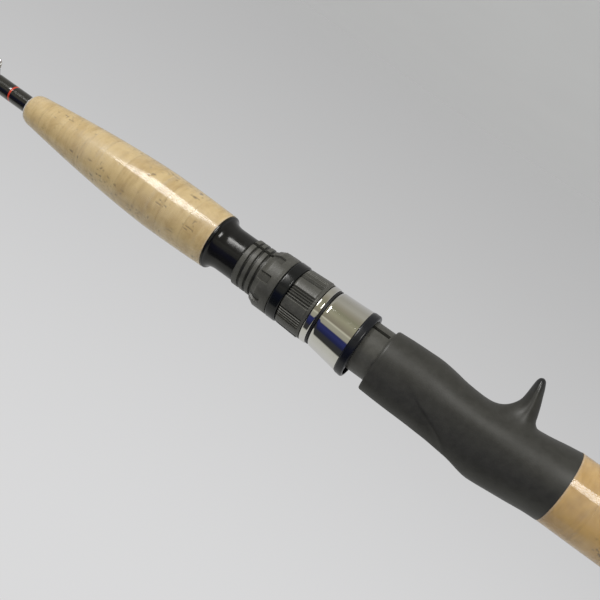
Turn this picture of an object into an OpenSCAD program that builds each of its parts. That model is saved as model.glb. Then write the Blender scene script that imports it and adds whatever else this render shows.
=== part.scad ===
// Two-piece casting rod with a trigger reel seat, cork grips and double-foot line guides.
// X runs from the butt end to the tip, the reel and the guides stand on +Z, the trigger hangs on -Z.
// The origin is the centre of the butt cap's end face. All sizes are in millimetres.

/* [Blank] */
// Length of the whole rod, butt end to tip
rod_length = 1980; // [1600:10:2400]
// Place of the joint between the second and the third guide, in per cent of their gap
joint_place = 28; // [20:1:60]
// Outer diameter of the blank at the butt
blank_butt_d = 8.8; // [7.5:0.1:10]
// Outer diameter of the blank at the tip
blank_tip_d = 2.0; // [1.8:0.1:2.4]
// Wall of the butt section
butt_wall = 0.9; // [0.7:0.05:1.1]
// Wall of the tip section
tip_wall = 0.45; // [0.35:0.05:0.55]
// How far the spigot of the joint reaches into each section
spigot_reach = 60; // [45:1:75]
// Gap that the spigot joint leaves between the sections
joint_gap = 1.0; // [0.5:0.1:3]

/* [Rear grip] */
// Diameter of the rear grip
rear_grip_d = 30.7; // [28:0.1:34]
// Length of the cork in the rear grip
rear_cork_length = 192; // [150:1:230]
// Number of cork rings in the rear grip
rear_cork_rings = 16; // [12:1:19]
// How much thinner the rear grip is at its waist
rear_waist_cut = 1.6; // [0:0.1:3]
// How far the butt cap stands out from the rear grip
butt_cap_step = 0.85; // [0.5:0.05:1.5]
// Length of the butt cap
butt_cap_length = 30; // [22:1:40]
// Radius of the butt cap's rounded end
butt_cap_round = 5; // [3:0.5:7]
// Length of the trim ring between the cap and the cork
trim_ring_length = 3; // [2:0.5:5]

/* [Reel seat] */
// Diameter of the bare tube between the hood and the body
seat_tube_d = 22.5; // [19:0.1:27]
// How much smaller the tube's radius is inside the body
seat_core_step = 1.65; // [1.3:0.05:1.9]
// Wall of the tube inside the body
seat_wall = 1.6; // [1.3:0.05:2.4]
// How far the thread's crests lie below the bare tube's surface
thread_step = 0.5; // [0.3:0.05:0.7]
// Depth of the thread
thread_depth = 0.8; // [0.5:0.05:1]
// Pitch of the thread
thread_pitch = 3.0; // [2:0.25:3.5]
// Length of the threaded barrel
barrel_length = 50; // [48:1:56]
// Length of the trigger body
body_length = 81.6; // [74:0.2:98]
// Bare tube between the trigger body and the hood
hood_gap = 8.6; // [8:0.1:14]
// Bare barrel between the lock nut and the trim sleeve
barrel_ahead = 10.4; // [10.2:0.1:12]
// Width of the two keyways
keyway_w = 1.6; // [1.2:0.1:2]
// Depth of the keyways below the bottom of the thread
keyway_depth = 0.95; // [0.6:0.05:1.1]
// Angle from the trigger to each keyway
keyway_angle = 34; // [28:1:45]
// Width of the reel foot's channel
foot_w = 15; // [13:0.5:16]
// Height of the channel's floor above the bare tube's surface
foot_floor_step = 0.35; // [0.25:0.05:0.75]
// Headroom for the reel foot under the body's fixed hood
foot_room = 3.2; // [2.6:0.1:3.4]
// Depth of the pocket under the fixed hood
pocket_depth = 15; // [11:0.5:17]
// Distance from the body's rear face to the pocket's mouth
pocket_mouth = 41.9; // [39:0.1:44]

/* [Trigger] */
// Distance from the body's rear face to the middle of the trigger
trigger_at = 26; // [22:0.5:30]
// Distance from the axis to the trigger's tip
trigger_reach = 29.8; // [27:0.1:34]
// Thickness of the trigger in the middle
trigger_thick = 6.6; // [5:0.1:8]
// Width of the trigger in the middle
trigger_wide = 8.4; // [6:0.1:10]

/* [Hood and nuts] */
// Length of the rubber bumper
bumper_length = 3.7; // [3:0.1:5]
// Length of the hood shell
hood_length = 15.1; // [14:0.1:18]
// How far the hood's front edge stands out from the bare tube
hood_front_step = 1.5; // [1.35:0.05:2.25]
// How far the hood's rear edge stands out from the bare tube
hood_rear_step = 2.85; // [2.75:0.05:3.75]
// How far the hood's rear edge is set towards the reel
hood_rise = 0.8; // [0.6:0.1:1.2]
// Wall of the hood shell
hood_wall = 0.8; // [0.6:0.05:0.9]
// Length of the groove ring
groove_ring_length = 1.8; // [1.6:0.1:2.5]
// Length of the retaining ring
retaining_ring_length = 2.3; // [2:0.1:3]
// How far the retaining ring stands out from the bare tube
retaining_ring_step = 1.85; // [1.65:0.05:2.25]
// Length of the clamp nut
clamp_nut_length = 12.1; // [10:0.1:14]
// How far the clamp nut's front stands out from the bare tube
clamp_nut_front_step = 1.65; // [1.45:0.05:2.25]
// How far the clamp nut's rear stands out from the bare tube
clamp_nut_rear_step = 2.15; // [1.95:0.05:2.75]
// Length of the thrust ring
thrust_ring_length = 5.0; // [4:0.1:6]
// How far the thrust ring stands out from the bare tube
thrust_ring_step = 1.95; // [1.75:0.05:2.25]
// Length of the lock nut
lock_nut_length = 9.1; // [8:0.1:11]
// How far the lock nut stands out from the bare tube
lock_nut_step = 1.8; // [1.55:0.05:2.25]
// Number of grip notches on the lock nut, and of rib groups on the clamp nut
grip_groups = 8; // [6:1:10]

/* [Foregrip] */
// Length of the foregrip
foregrip_length = 108.2; // [90:0.2:130]
// Number of cork rings in the foregrip
foregrip_rings = 9; // [7:1:11]
// Diameter of the foregrip at its rear
foregrip_rear_d = 25.1; // [24.4:0.1:27]
// Largest diameter of the foregrip
foregrip_belly_d = 26.4; // [25.5:0.1:29]
// Distance from the foregrip's rear to its largest diameter
foregrip_belly_at = 31; // [20:1:45]
// Diameter of the foregrip just behind its rounded nose
foregrip_nose_d = 15.0; // [13:0.1:17]
// Length of the rounded nose
foregrip_nose_length = 5; // [3:0.5:7]
// Length of the trim sleeve behind the foregrip
trim_sleeve_length = 15.1; // [12:0.1:18]
// Wall of the trim sleeve's tube
trim_sleeve_wall = 2.0; // [1.5:0.05:2.3]
// Thickness of the clear film on the cork
film = 0.2; // [0.15:0.05:0.3]

/* [Hook keeper] */
// Length of the wrap in front of the foregrip
keeper_wrap_length = 23; // [16:1:28]
// Thickness of that wrap over the blank
keeper_wrap_t = 0.45; // [0.4:0.05:0.95]
// Distance from the foregrip to the red band
keeper_band_at = 10.4; // [6:0.1:14]
// Width of the red band
keeper_band_w = 1.0; // [0.6:0.1:2]
// Length of the keeper's loop
keeper_loop = 12; // [10:0.5:16]
// Height of the keeper's loop above the blank
keeper_height = 6.0; // [5.6:0.1:8]
// Diameter of the keeper's wire
keeper_wire_d = 1.0; // [0.8:0.1:1.2]

/* [Guides] */
// Outer diameter of each guide's ceramic ring, from the grip to the tip
guide_ring_d = [16, 12, 10, 9, 8, 8, 7, 7];
// Outer diameter of the tip's ceramic ring
tip_ring_d = 7; // [6:0.5:9]
// Gap between the tip and the first guide, in per cent of the blank ahead of the foregrip
first_gap_share = 6.4; // [5.4:0.1:7.4]
// How much longer each gap is than the one before it, in per cent of the same
gap_growth_share = 1.15; // [0.95:0.05:1.2]
// Diameter of the guides' wire
guide_wire_d = 1.2; // [1:0.1:1.4]
// Thickness of the guides' feet
foot_t = 0.6; // [0.5:0.05:0.8]
// Thickness of the thread wraps over the feet
wrap_t = 1.1; // [1:0.05:1.4]

/* [Clearances] */
// Glue line between fixed parts
glue = 0.05; // [0.03:0.01:0.08]
// Radial gap of the nuts over the thread
nut_gap = 0.2; // [0.15:0.01:0.25]
// Gap of the hood over the tube
hood_slide_gap = 0.3; // [0.25:0.01:0.35]

/* [Hidden] */
$fn = 48;
e = 0.01;
grey = [0.28, 0.28, 0.27];
black = [0.05, 0.05, 0.06];
cork = [0.82, 0.70, 0.50];
chrome = [0.8, 0.8, 0.82];
ceramic = [0.12, 0.12, 0.14];
clear = [0.9, 0.92, 0.95, 0.25];

// Stations along the rod, from the butt
trim_ring_x = butt_cap_length;
rear_cork_x = trim_ring_x + trim_ring_length;
seat_x = rear_cork_x + rear_cork_length;
body_front_x = seat_x + body_length;
bumper_x = body_front_x + hood_gap;
hood_x = bumper_x + bumper_length;
groove_ring_x = hood_x + hood_length;
retaining_ring_x = groove_ring_x + groove_ring_length;
clamp_nut_x = retaining_ring_x + retaining_ring_length;
thrust_ring_x = clamp_nut_x + clamp_nut_length;
lock_nut_x = thrust_ring_x + thrust_ring_length;
barrel_end_x = lock_nut_x + lock_nut_length + barrel_ahead;
barrel_x = barrel_end_x - barrel_length;
foregrip_x = barrel_end_x + trim_sleeve_length;
foregrip_end_x = foregrip_x + foregrip_length;
keeper_wrap_end_x = foregrip_end_x + keeper_wrap_length;
keeper_loop_end_x = keeper_wrap_end_x + keeper_loop;
guide_count = len(guide_ring_d);
free_blank = rod_length - foregrip_end_x;
butt_section_length = guide_x(1) + (guide_x(2) - guide_x(1)) * joint_place / 100;
tip_section_x = butt_section_length + joint_gap;

// The butt cap follows the rear grip
butt_cap_d = rear_grip_d + 2 * butt_cap_step;

// Diameters that follow the bare tube of the seat
seat_core_d = seat_tube_d - 2 * seat_core_step;
seat_bore_d = seat_core_d - 2 * seat_wall;
thread_crest_d = seat_tube_d - 2 * thread_step;
thread_root_d = thread_crest_d - 2 * thread_depth;
keyway_root_d = thread_root_d - 2 * keyway_depth;
hood_front_d = seat_tube_d + 2 * hood_front_step;
hood_rear_d = seat_tube_d + 2 * hood_rear_step;
groove_ring_d = seat_tube_d + 3.1;
retaining_ring_d = seat_tube_d + 2 * retaining_ring_step;
clamp_nut_front_d = seat_tube_d + 2 * clamp_nut_front_step;
clamp_nut_rear_d = seat_tube_d + 2 * clamp_nut_rear_step;
thrust_ring_d = seat_tube_d + 2 * thrust_ring_step;
lock_nut_d = seat_tube_d + 2 * lock_nut_step;
trim_sleeve_d = seat_bore_d + 2 * trim_sleeve_wall;
foot_floor = seat_tube_d / 2 + foot_floor_step;

// Radii that fit to one another
nut_bore = thread_crest_d / 2 + nut_gap;
hood_bore = seat_tube_d / 2 + hood_slide_gap;
arbor_r = seat_bore_d / 2 - glue;
neck_r = nut_bore + 0.65;
flange_r = neck_r + 0.4;
keeper_wrap_r = blank_r(foregrip_end_x) + keeper_wrap_t;
thrust_neck_r = nut_bore + 1.1;
thrust_neck_length = 2;
bumper_step = 0.35;
bumper_rise = hood_rise + 0.2;
hood_pocket_w = foot_w + 1.4;
core_step_x = body_front_x - 6;

function blank_r(x) = (blank_butt_d + (blank_tip_d - blank_butt_d) * x / rod_length) / 2;
function guide_x(i) =
    let (gaps = guide_count - i)
    rod_length - free_blank * (first_gap_share * gaps + gap_growth_share * gaps * (gaps - 1) / 2) / 100;
function guide_height(i) = blank_r(guide_x(i)) + guide_ring_d[i] * 0.5 + 3 + guide_ring_d[i] * 0.35;
function guide_foot_l(i) = 7 + guide_ring_d[i] * 0.35;
function guide_leg_l(i) = 3 + guide_ring_d[i] * 0.75;

// Radius of the foregrip's cork, u from its rear face
function foregrip_r(u) =
    let (
        nose_u = foregrip_length - foregrip_nose_length,
        s = max(0, (u - foregrip_belly_at) / (nose_u - foregrip_belly_at)),
        back = max(0, 1 - u / foregrip_belly_at),
        belly_r = foregrip_belly_d / 2,
        body_r = belly_r - (belly_r - foregrip_rear_d / 2) * back * back
            - (belly_r - foregrip_nose_d / 2) * pow(min(s, 1), 1.5),
        t = max(0, (u - nose_u) / foregrip_nose_length),
        face_r = keeper_wrap_r + 0.5
    )
    face_r + (body_r - face_r) * sqrt(max(0, 1 - t * t));

// Radius of the rear grip's cork, u from its rear face
function rear_grip_r(u) =
    rear_grip_d / 2 - rear_waist_cut * pow(sin(180 * min(1, u / (rear_cork_length * 0.62))), 2);

// ---------- general shapes ----------

// Turns a shape made around Z so that it runs along X from x, with its X axis towards Y
module along_x(x) {
    translate([x, 0, 0])
        rotate([0, 90, 0])
            rotate([0, 0, 90])
                children();
}

// A straight or tapered tube from x0 to x1
module tube_x(x0, x1, outer0, outer1, inner0, inner1) {
    along_x(x0)
        rotate_extrude()
            polygon([[inner0, 0], [outer0, 0], [outer1, x1 - x0], [inner1, x1 - x0]]);
}

// A ring that fits the tapered blank, with a small chamfer at both outer edges
module ring_on_blank(x0, x1, outer, chamfer) {
    length = x1 - x0;
    along_x(x0)
        rotate_extrude()
            polygon([
                [blank_r(x0) + glue, 0],
                [outer - chamfer, 0],
                [outer, chamfer],
                [outer, length - chamfer],
                [outer - chamfer, length],
                [blank_r(x1) + glue, length]
            ]);
}

// A straight round wire between two points, with a slightly larger ball at its far end
module wire(a, b, d) {
    v = b - a;
    length = norm(v);
    translate(a)
        rotate([0, acos(v.z / length), atan2(v.y, v.x)])
            cylinder(h = length, d = d);
    translate(b)
        sphere(d = d * 1.12);
}

// A closed solid through a list of rings of points, each with the same number of points
module loft(rings) {
    n = len(rings[0]);
    last = len(rings) - 1;
    sides = [
        for (i = [0 : last - 1], j = [0 : n - 1])
            [i * n + j, (i + 1) * n + j, (i + 1) * n + (j + 1) % n, i * n + (j + 1) % n]
    ];
    start_cap = [for (j = [0 : n - 1]) j];
    end_cap = [for (j = [n - 1 : -1 : 0]) last * n + j];
    polyhedron(
        points = [for (ring = rings) each ring],
        faces = concat([start_cap], sides, [end_cap]),
        convexity = 6
    );
}

// A circle of points at x, its centre raised by rise
function circle_ring(x, r, rise, n) =
    [for (j = [0 : n - 1]) [x, r * cos(360 * j / n), rise + r * sin(360 * j / n)]];

// ---------- blank ----------

module butt_blank() {
    start = 4;
    end = butt_section_length;
    color(black)
        tube_x(start, end, blank_r(start), blank_r(end), blank_r(start) - butt_wall, blank_r(end) - butt_wall);
}

module tip_blank() {
    end = rod_length - 1;
    thick_end = tip_section_x + spigot_reach + 20;
    color(black)
        along_x(tip_section_x)
            rotate_extrude()
                polygon([
                    [blank_r(tip_section_x) - butt_wall, 0],
                    [blank_r(tip_section_x), 0],
                    [blank_r(end), end - tip_section_x],
                    [blank_r(end) - tip_wall, end - tip_section_x],
                    [blank_r(thick_end) - butt_wall, thick_end - tip_section_x]
                ]);
}

module ferrule_spigot() {
    start = butt_section_length - spigot_reach;
    end = butt_section_length + spigot_reach;
    inset = butt_wall + glue;
    color([0.2, 0.2, 0.21])
        along_x(start)
            cylinder(h = end - start, r1 = blank_r(start) - inset, r2 = blank_r(end) - inset);
}

module butt_joint_wrap() {
    end = butt_section_length - 1;
    start = end - 14;
    color(black)
        ring_on_blank(start, end, blank_r(start) + 0.55, 0.4);
}

module tip_joint_wrap() {
    start = tip_section_x + 1;
    end = start + 18;
    color(black)
        ring_on_blank(start, end, blank_r(start) + 0.55, 0.4);
}

// ---------- rear grip ----------

module butt_cap() {
    r = butt_cap_d / 2;
    round_steps = 6;
    color(black)
        difference() {
            along_x(0)
                rotate_extrude()
                    polygon(concat(
                        [[0, 0]],
                        [
                            for (k = [0 : round_steps])
                                let (a = 90 * k / round_steps)
                                [r - butt_cap_round * (1 - sin(a)), butt_cap_round * (1 - cos(a))]
                        ],
                        [[r, butt_cap_length], [0, butt_cap_length]]
                    ));
            along_x(4 - glue)
                cylinder(h = butt_cap_length, r = blank_r(4) + glue);
        }
}

module rear_trim_ring() {
    color([0.35, 0.35, 0.36])
        ring_on_blank(trim_ring_x, rear_cork_x, butt_cap_d / 2 - 0.4, 0.4);
}

module rear_grip_cork() {
    ring_l = rear_cork_length / rear_cork_rings;
    solid_l = ring_l - glue;
    steps = 4;
    color(cork)
        for (i = [0 : rear_cork_rings - 1]) {
            u0 = i * ring_l;
            x0 = rear_cork_x + u0;
            along_x(x0)
                rotate_extrude()
                    polygon(concat(
                        [[blank_r(x0) + glue, 0]],
                        [for (k = [0 : steps]) [rear_grip_r(u0 + solid_l * k / steps), solid_l * k / steps]],
                        [[blank_r(x0 + solid_l) + glue, solid_l]]
                    ));
        }
}

module rear_grip_film() {
    steps = 48;
    color(clear)
        along_x(rear_cork_x)
            rotate_extrude()
                polygon(concat(
                    [for (k = [0 : steps]) let (u = rear_cork_length * k / steps) [rear_grip_r(u) + glue, u]],
                    [
                        for (k = [steps : -1 : 0])
                            let (u = rear_cork_length * k / steps)
                            [rear_grip_r(u) + glue + film, u]
                    ]
                ));
}

// ---------- reel seat ----------

module arbor(x0, x1) {
    color([0.55, 0.5, 0.42])
        tube_x(x0, x1, arbor_r, arbor_r, blank_r(x0) + glue, blank_r(x1) + glue);
}

module rear_arbor() {
    arbor(seat_x + 4, seat_x + 34);
}

module middle_arbor() {
    middle = (seat_x + barrel_end_x) / 2;
    arbor(middle - 15, middle + 15);
}

module front_arbor() {
    arbor(barrel_end_x - 26, foregrip_x - 2);
}

// One rounded ridge for every pitch of the barrel
function thread_profile(length) = [
    for (k = [0 : floor(length / thread_pitch) - 1])
        let (z = k * thread_pitch)
        each [
            [thread_root_d / 2, z + thread_pitch * 0.12],
            [thread_crest_d / 2, z + thread_pitch * 0.30],
            [thread_crest_d / 2, z + thread_pitch * 0.70],
            [thread_root_d / 2, z + thread_pitch * 0.88]
        ]
];

module keyways(x0, x1) {
    for (side = [-1, 1])
        rotate([side * keyway_angle, 0, 0])
            translate([x0, -keyway_w / 2, -seat_tube_d])
                cube([x1 - x0, keyway_w, seat_tube_d - keyway_root_d / 2]);
}

module seat_tube() {
    thread_start = barrel_x - seat_x;
    thread = thread_profile(barrel_length);
    bore = seat_bore_d / 2;
    color(grey)
        difference() {
            along_x(seat_x)
                rotate_extrude()
                    polygon(concat(
                        [[bore, 0], [seat_core_d / 2, 0], [seat_core_d / 2, core_step_x - seat_x]],
                        [[seat_tube_d / 2, core_step_x - seat_x], [seat_tube_d / 2, thread_start]],
                        [[thread_root_d / 2, thread_start]],
                        [for (p = thread) p + [0, thread_start]],
                        [[thread_root_d / 2, barrel_end_x - seat_x], [bore, barrel_end_x - seat_x]]
                    ));
            keyways(body_front_x + 1, barrel_end_x + 1);
        }
}

// Stations of the trigger body between a 30.7 mm grip and a 22.5 mm tube: share of its length from
// the rear, half width, height to the reel, depth to the trigger, and how square the reel side is
stations_tube_d = 22.5;
stations_grip_d = 30.7;
body_stations = [
    [0.00, 15.3, 15.4, 15.2, 2.0],
    [0.07, 15.1, 15.8, 14.4, 2.0],
    [0.15, 14.4, 16.6, 13.3, 2.1],
    [0.23, 13.6, 17.3, 12.6, 2.2],
    [0.32, 13.0, 18.1, 12.1, 2.3],
    [0.38, 12.8, 18.4, 11.8, 2.4],
    [0.45, 12.7, 18.2, 11.4, 2.5],
    [0.52, 12.7, 17.4, 11.4, 2.6],
    [0.60, 12.9, 16.4, 11.9, 2.7],
    [0.67, 13.2, 15.9, 12.8, 2.8],
    [0.75, 13.4, 15.6, 13.5, 2.8],
    [0.84, 13.4, 15.4, 13.4, 2.8],
    [0.92, 13.2, 15.2, 13.2, 2.8],
    [1.00, 12.9, 15.0, 12.8, 2.8]
];

// Smooth value through the stations' column c, at place t counted in stations
function station(t, c) =
    let (
        last = len(body_stations) - 1,
        i = min(floor(t), last - 1),
        f = t - i,
        p0 = body_stations[max(i - 1, 0)][c],
        p1 = body_stations[i][c],
        p2 = body_stations[i + 1][c],
        p3 = body_stations[min(i + 2, last)][c]
    )
    p1 + 0.5 * f * (p2 - p0 + f * (2 * p0 - 5 * p1 + 4 * p2 - p3 + f * (3 * (p1 - p2) + p3 - p0)));

// Radius of an oval with half width w, height h and squareness n, at angle a
function oval(a, w, h, n) = 1 / pow(pow(abs(cos(a)) / w, n) + pow(abs(sin(a)) / h, n), 1 / n);

function body_ring(t, n) =
    let (
        share = station(t, 0),
        x = seat_x + body_length * share,
        rear = pow(max(0, 1 - share / 0.3), 2),
        swell = ((seat_tube_d - stations_tube_d) * (1 - rear) + (rear_grip_d - stations_grip_d) * rear) / 2,
        w = station(t, 1) + swell,
        up = station(t, 2) + swell,
        down = station(t, 3) + swell,
        square_up = station(t, 4)
    )
    [
        for (j = [0 : n - 1])
            let (
                a = 360 * j / n,
                r = sin(a) >= 0 ? oval(a, w, up, square_up) : oval(a, w, down, 2.1)
            )
            [x, r * cos(a), r * sin(a)]
    ];

// Stations of the trigger: share of its reach, shift towards the butt, half thickness, half width
trigger_stations = [
    [0.20, 1.5, 2.2, 1.6],
    [0.33, 1.5, 2.2, 1.6],
    [0.40, 1.5, 1.9, 1.4],
    [0.47, 0.9, 1.5, 1.18],
    [0.57, 0.8, 1.16, 1.04],
    [0.67, 0.5, 1.0, 1.0],
    [0.76, 0.1, 0.88, 0.92],
    [0.86, -0.6, 0.72, 0.80],
    [0.94, -1.0, 0.50, 0.58],
    [0.98, -1.1, 0.29, 0.34],
    [1.00, -1.1, 0.08, 0.09]
];

function trigger_ring(row, n) = [
    for (j = [0 : n - 1])
        let (a = 360 * j / n)
        [
            seat_x + trigger_at - row[1] + row[2] * trigger_thick / 2 * cos(a),
            -row[3] * trigger_wide / 2 * sin(a),
            -row[0] * trigger_reach
        ]
];

module trigger_body() {
    per_station = 2;
    stations_last = len(body_stations) - 1;
    pocket_x = seat_x + pocket_mouth;
    color(grey)
        difference() {
            union() {
                loft([for (k = [0 : stations_last * per_station]) body_ring(k / per_station, 40)]);
                loft([for (row = trigger_stations) trigger_ring(row, 20)]);
            }
            along_x(seat_x - 1)
                cylinder(h = body_length + 2, r = seat_core_d / 2 + glue);
            along_x(core_step_x - glue)
                cylinder(h = body_length, r = seat_tube_d / 2 + glue);
            translate([pocket_x, -foot_w / 2, foot_floor])
                cube([body_length, foot_w, 20]);
            translate([pocket_x - pocket_depth, -foot_w / 2, foot_floor - 0.1])
                cube([pocket_depth + e, foot_w, foot_room + 0.1]);
        }
}

// ---------- hood ----------

module hood_shell() {
    n = 48;
    end = groove_ring_x - hood_x;
    color(chrome)
        difference() {
            loft([
                circle_ring(hood_x, hood_rear_d / 2, hood_rise, n),
                circle_ring(groove_ring_x - 1.2, hood_front_d / 2 + 0.1, 0, n),
                circle_ring(groove_ring_x, hood_front_d / 2 - 0.5, 0, n)
            ]);
            loft([
                circle_ring(hood_x - end, 2 * hood_rear_d / 2 - hood_front_d / 2 - hood_wall, 2 * hood_rise, n),
                circle_ring(groove_ring_x - 1.2, hood_front_d / 2 - hood_wall, 0, n)
            ]);
            along_x(hood_x)
                cylinder(h = hood_length + 1, r = flange_r + 0.1);
        }
}

module hood_liner() {
    n = 48;
    shrink = hood_wall + 0.15;
    front_x = groove_ring_x - 2.4;
    color([0.15, 0.15, 0.16]) {
        difference() {
            loft([
                circle_ring(hood_x + 0.1, hood_rear_d / 2 - shrink, hood_rise, n),
                circle_ring(front_x, hood_front_d / 2 - shrink, 0, n)
            ]);
            along_x(hood_x - 1)
                cylinder(h = hood_length + 2, r = hood_bore);
            translate([hood_x - 1, -hood_pocket_w / 2, 0])
                cube([hood_length - 3.5, hood_pocket_w, 20]);
        }
        for (side = [-1, 1])
            rotate([side * keyway_angle, 0, 0])
                translate([hood_x + 1, -keyway_w / 2 + 0.25, -hood_bore - 0.3])
                    cube([8, keyway_w - 0.5, hood_bore + 0.3 - keyway_root_d / 2 - 0.3]);
    }
}

module hood_bumper() {
    n = 48;
    rear_r = hood_rear_d / 2 + bumper_step;
    color([0.04, 0.04, 0.07])
        difference() {
            loft([
                circle_ring(bumper_x, rear_r - 0.5, bumper_rise, n),
                circle_ring(bumper_x + 0.6, rear_r, bumper_rise, n),
                circle_ring(hood_x - 0.6, rear_r - 0.1, hood_rise, n),
                circle_ring(hood_x, rear_r - 0.4, hood_rise, n)
            ]);
            along_x(bumper_x - 1)
                cylinder(h = bumper_length + 2, r = hood_bore);
            intersection() {
                translate([bumper_x - 1, -hood_pocket_w / 2, 0])
                    cube([bumper_length + 2, hood_pocket_w, hood_rear_d]);
                translate([0, 0, bumper_rise])
                    along_x(bumper_x - 1)
                        cylinder(h = bumper_length + 2, r = rear_r - 1.3);
            }
        }
}

module groove_ring() {
    color(black)
        tube_x(groove_ring_x, retaining_ring_x, groove_ring_d / 2, groove_ring_d / 2, flange_r + 0.2, flange_r + 0.2);
}

module retaining_ring() {
    r = retaining_ring_d / 2;
    bevel = 0.4;
    length = retaining_ring_length - 0.15;
    color(chrome)
        along_x(retaining_ring_x)
            rotate_extrude()
                polygon([
                    [neck_r + 0.15, 0],
                    [r - bevel, 0],
                    [r, bevel],
                    [r, length - bevel],
                    [r - bevel, length],
                    [neck_r + 0.15, length]
                ]);
}

// ---------- nuts ----------

// Outline of the clamp nut: groups of fine ribs between smooth lands
function ribbed_outline(r_land, r_root, groups, ribs, share) = [
    for (g = [0 : groups - 1])
        let (start = 360 * g / groups, step = 360 / groups * share / ribs)
        each concat(
            [
                for (k = [0 : ribs - 1])
                    let (a = start + k * step)
                    each [
                        r_root * [cos(a), sin(a)],
                        r_root * [cos(a + 0.3 * step), sin(a + 0.3 * step)],
                        r_land * [cos(a + 0.5 * step), sin(a + 0.5 * step)],
                        r_land * [cos(a + 0.8 * step), sin(a + 0.8 * step)]
                    ]
            ],
            [
                for (k = [0 : 5])
                    let (a = start + 360 / groups * (share + (1 - share) * k / 6))
                    r_land * 0.975 * [cos(a), sin(a)]
            ]
        )
];

module clamp_nut() {
    front_r = clamp_nut_front_d / 2;
    rear_r = clamp_nut_rear_d / 2;
    length = clamp_nut_length;
    collar = 1.2;
    color(grey)
        difference() {
            union() {
                intersection() {
                    along_x(clamp_nut_x)
                        linear_extrude(height = length)
                            polygon(ribbed_outline(rear_r, rear_r - 0.65, grip_groups, 5, 0.56));
                    along_x(clamp_nut_x)
                        rotate_extrude()
                            polygon([
                                [0, 0],
                                [rear_r - 0.3, 0],
                                [rear_r, 0.5],
                                [front_r, length - 0.7],
                                [front_r - 0.7, length],
                                [0, length]
                            ]);
                }
                tube_x(clamp_nut_x, clamp_nut_x + collar, rear_r - 0.35, rear_r - 0.35, nut_bore, nut_bore);
                tube_x(retaining_ring_x - 1.5, clamp_nut_x + e, neck_r, neck_r, nut_bore, nut_bore);
                tube_x(retaining_ring_x - 1.5, retaining_ring_x - 0.2, flange_r, flange_r, nut_bore, nut_bore);
            }
            along_x(retaining_ring_x - 3)
                cylinder(h = length + 8, r = nut_bore);
        }
}

module thrust_ring() {
    r = thrust_ring_d / 2;
    gap = 0.1;
    bevel = 0.5;
    length = thrust_ring_length - gap;
    color(black)
        along_x(thrust_ring_x + gap)
            rotate_extrude()
                polygon([
                    [nut_bore, 0],
                    [r - bevel, 0],
                    [r, bevel],
                    [r, length - bevel],
                    [r - bevel, length],
                    [thrust_neck_r, length],
                    [thrust_neck_r, length + thrust_neck_length],
                    [nut_bore, length + thrust_neck_length]
                ]);
}

module lock_nut() {
    r = lock_nut_d / 2;
    gap = 0.1;
    length = lock_nut_length - gap;
    chamfer = 1.2;
    chamfer_l = 2.4;
    notch_depth = 0.9;
    notch_l = length * 0.6;
    notch_w = 2 * r * sin(19 / 2);
    color(grey)
        difference() {
            along_x(lock_nut_x + gap)
                rotate_extrude()
                    polygon([
                        [thrust_neck_r + 0.2, 0],
                        [r - 0.3, 0],
                        [r, 0.3],
                        [r, length - chamfer_l],
                        [r - chamfer, length],
                        [nut_bore, length],
                        [nut_bore, thrust_neck_length + 0.3],
                        [thrust_neck_r + 0.2, thrust_neck_length + 0.3]
                    ]);
            for (g = [0 : grip_groups - 1])
                rotate([360 * g / grip_groups, 0, 0])
                    translate([lock_nut_x + gap + length - notch_l, -notch_w / 2, r - notch_depth])
                        cube([notch_l + 1, notch_w, 5]);
        }
}

// ---------- foregrip ----------

module foregrip_trim_sleeve() {
    tube_r = trim_sleeve_d / 2;
    flare_r = foregrip_rear_d / 2 - 0.1;
    length = trim_sleeve_length;
    neck_l = 4;
    steps = 6;
    color(black)
        along_x(barrel_end_x)
            rotate_extrude()
                polygon(concat(
                    [[seat_bore_d / 2, 0], [tube_r - 0.3, 0], [tube_r, 0.3]],
                    [
                        for (k = [0 : steps])
                            let (a = 90 * k / steps)
                            [flare_r - (flare_r - tube_r) * cos(a), length - 1.1 - neck_l * (1 - sin(a))]
                    ],
                    [[flare_r, length], [seat_bore_d / 2, length]]
                ));
}

module foregrip_cork() {
    ring_l = foregrip_length / foregrip_rings;
    solid_l = ring_l - glue;
    steps = 6;
    color(cork)
        for (i = [0 : foregrip_rings - 1]) {
            u0 = i * ring_l;
            x0 = foregrip_x + u0;
            along_x(x0)
                rotate_extrude()
                    polygon(concat(
                        [[blank_r(x0) + glue, 0]],
                        [for (k = [0 : steps]) [foregrip_r(u0 + solid_l * k / steps), solid_l * k / steps]],
                        [[blank_r(x0 + solid_l) + glue, solid_l]]
                    ));
        }
}

module foregrip_film() {
    steps = 54;
    end = foregrip_length - 1;
    color(clear)
        along_x(foregrip_x)
            rotate_extrude()
                polygon(concat(
                    [for (k = [0 : steps]) let (u = end * k / steps) [foregrip_r(u) + glue, u]],
                    [for (k = [steps : -1 : 0]) let (u = end * k / steps) [foregrip_r(u) + glue + film, u]]
                ));
}

// ---------- hook keeper ----------

keeper_foot_l = 6;
keeper_foot_w = 1.6;
keeper_foot_t = 0.25;

// Room for a foot of the keeper under a wrap, from x0 to x1
module keeper_slot(x0, x1) {
    top = blank_r(keeper_wrap_end_x - keeper_foot_l) + glue;
    w = keeper_foot_w + 2 * glue;
    translate([x0, -w / 2, -top - keeper_foot_t - glue])
        cube([x1 - x0, w, keeper_foot_t + 1]);
}

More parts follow.
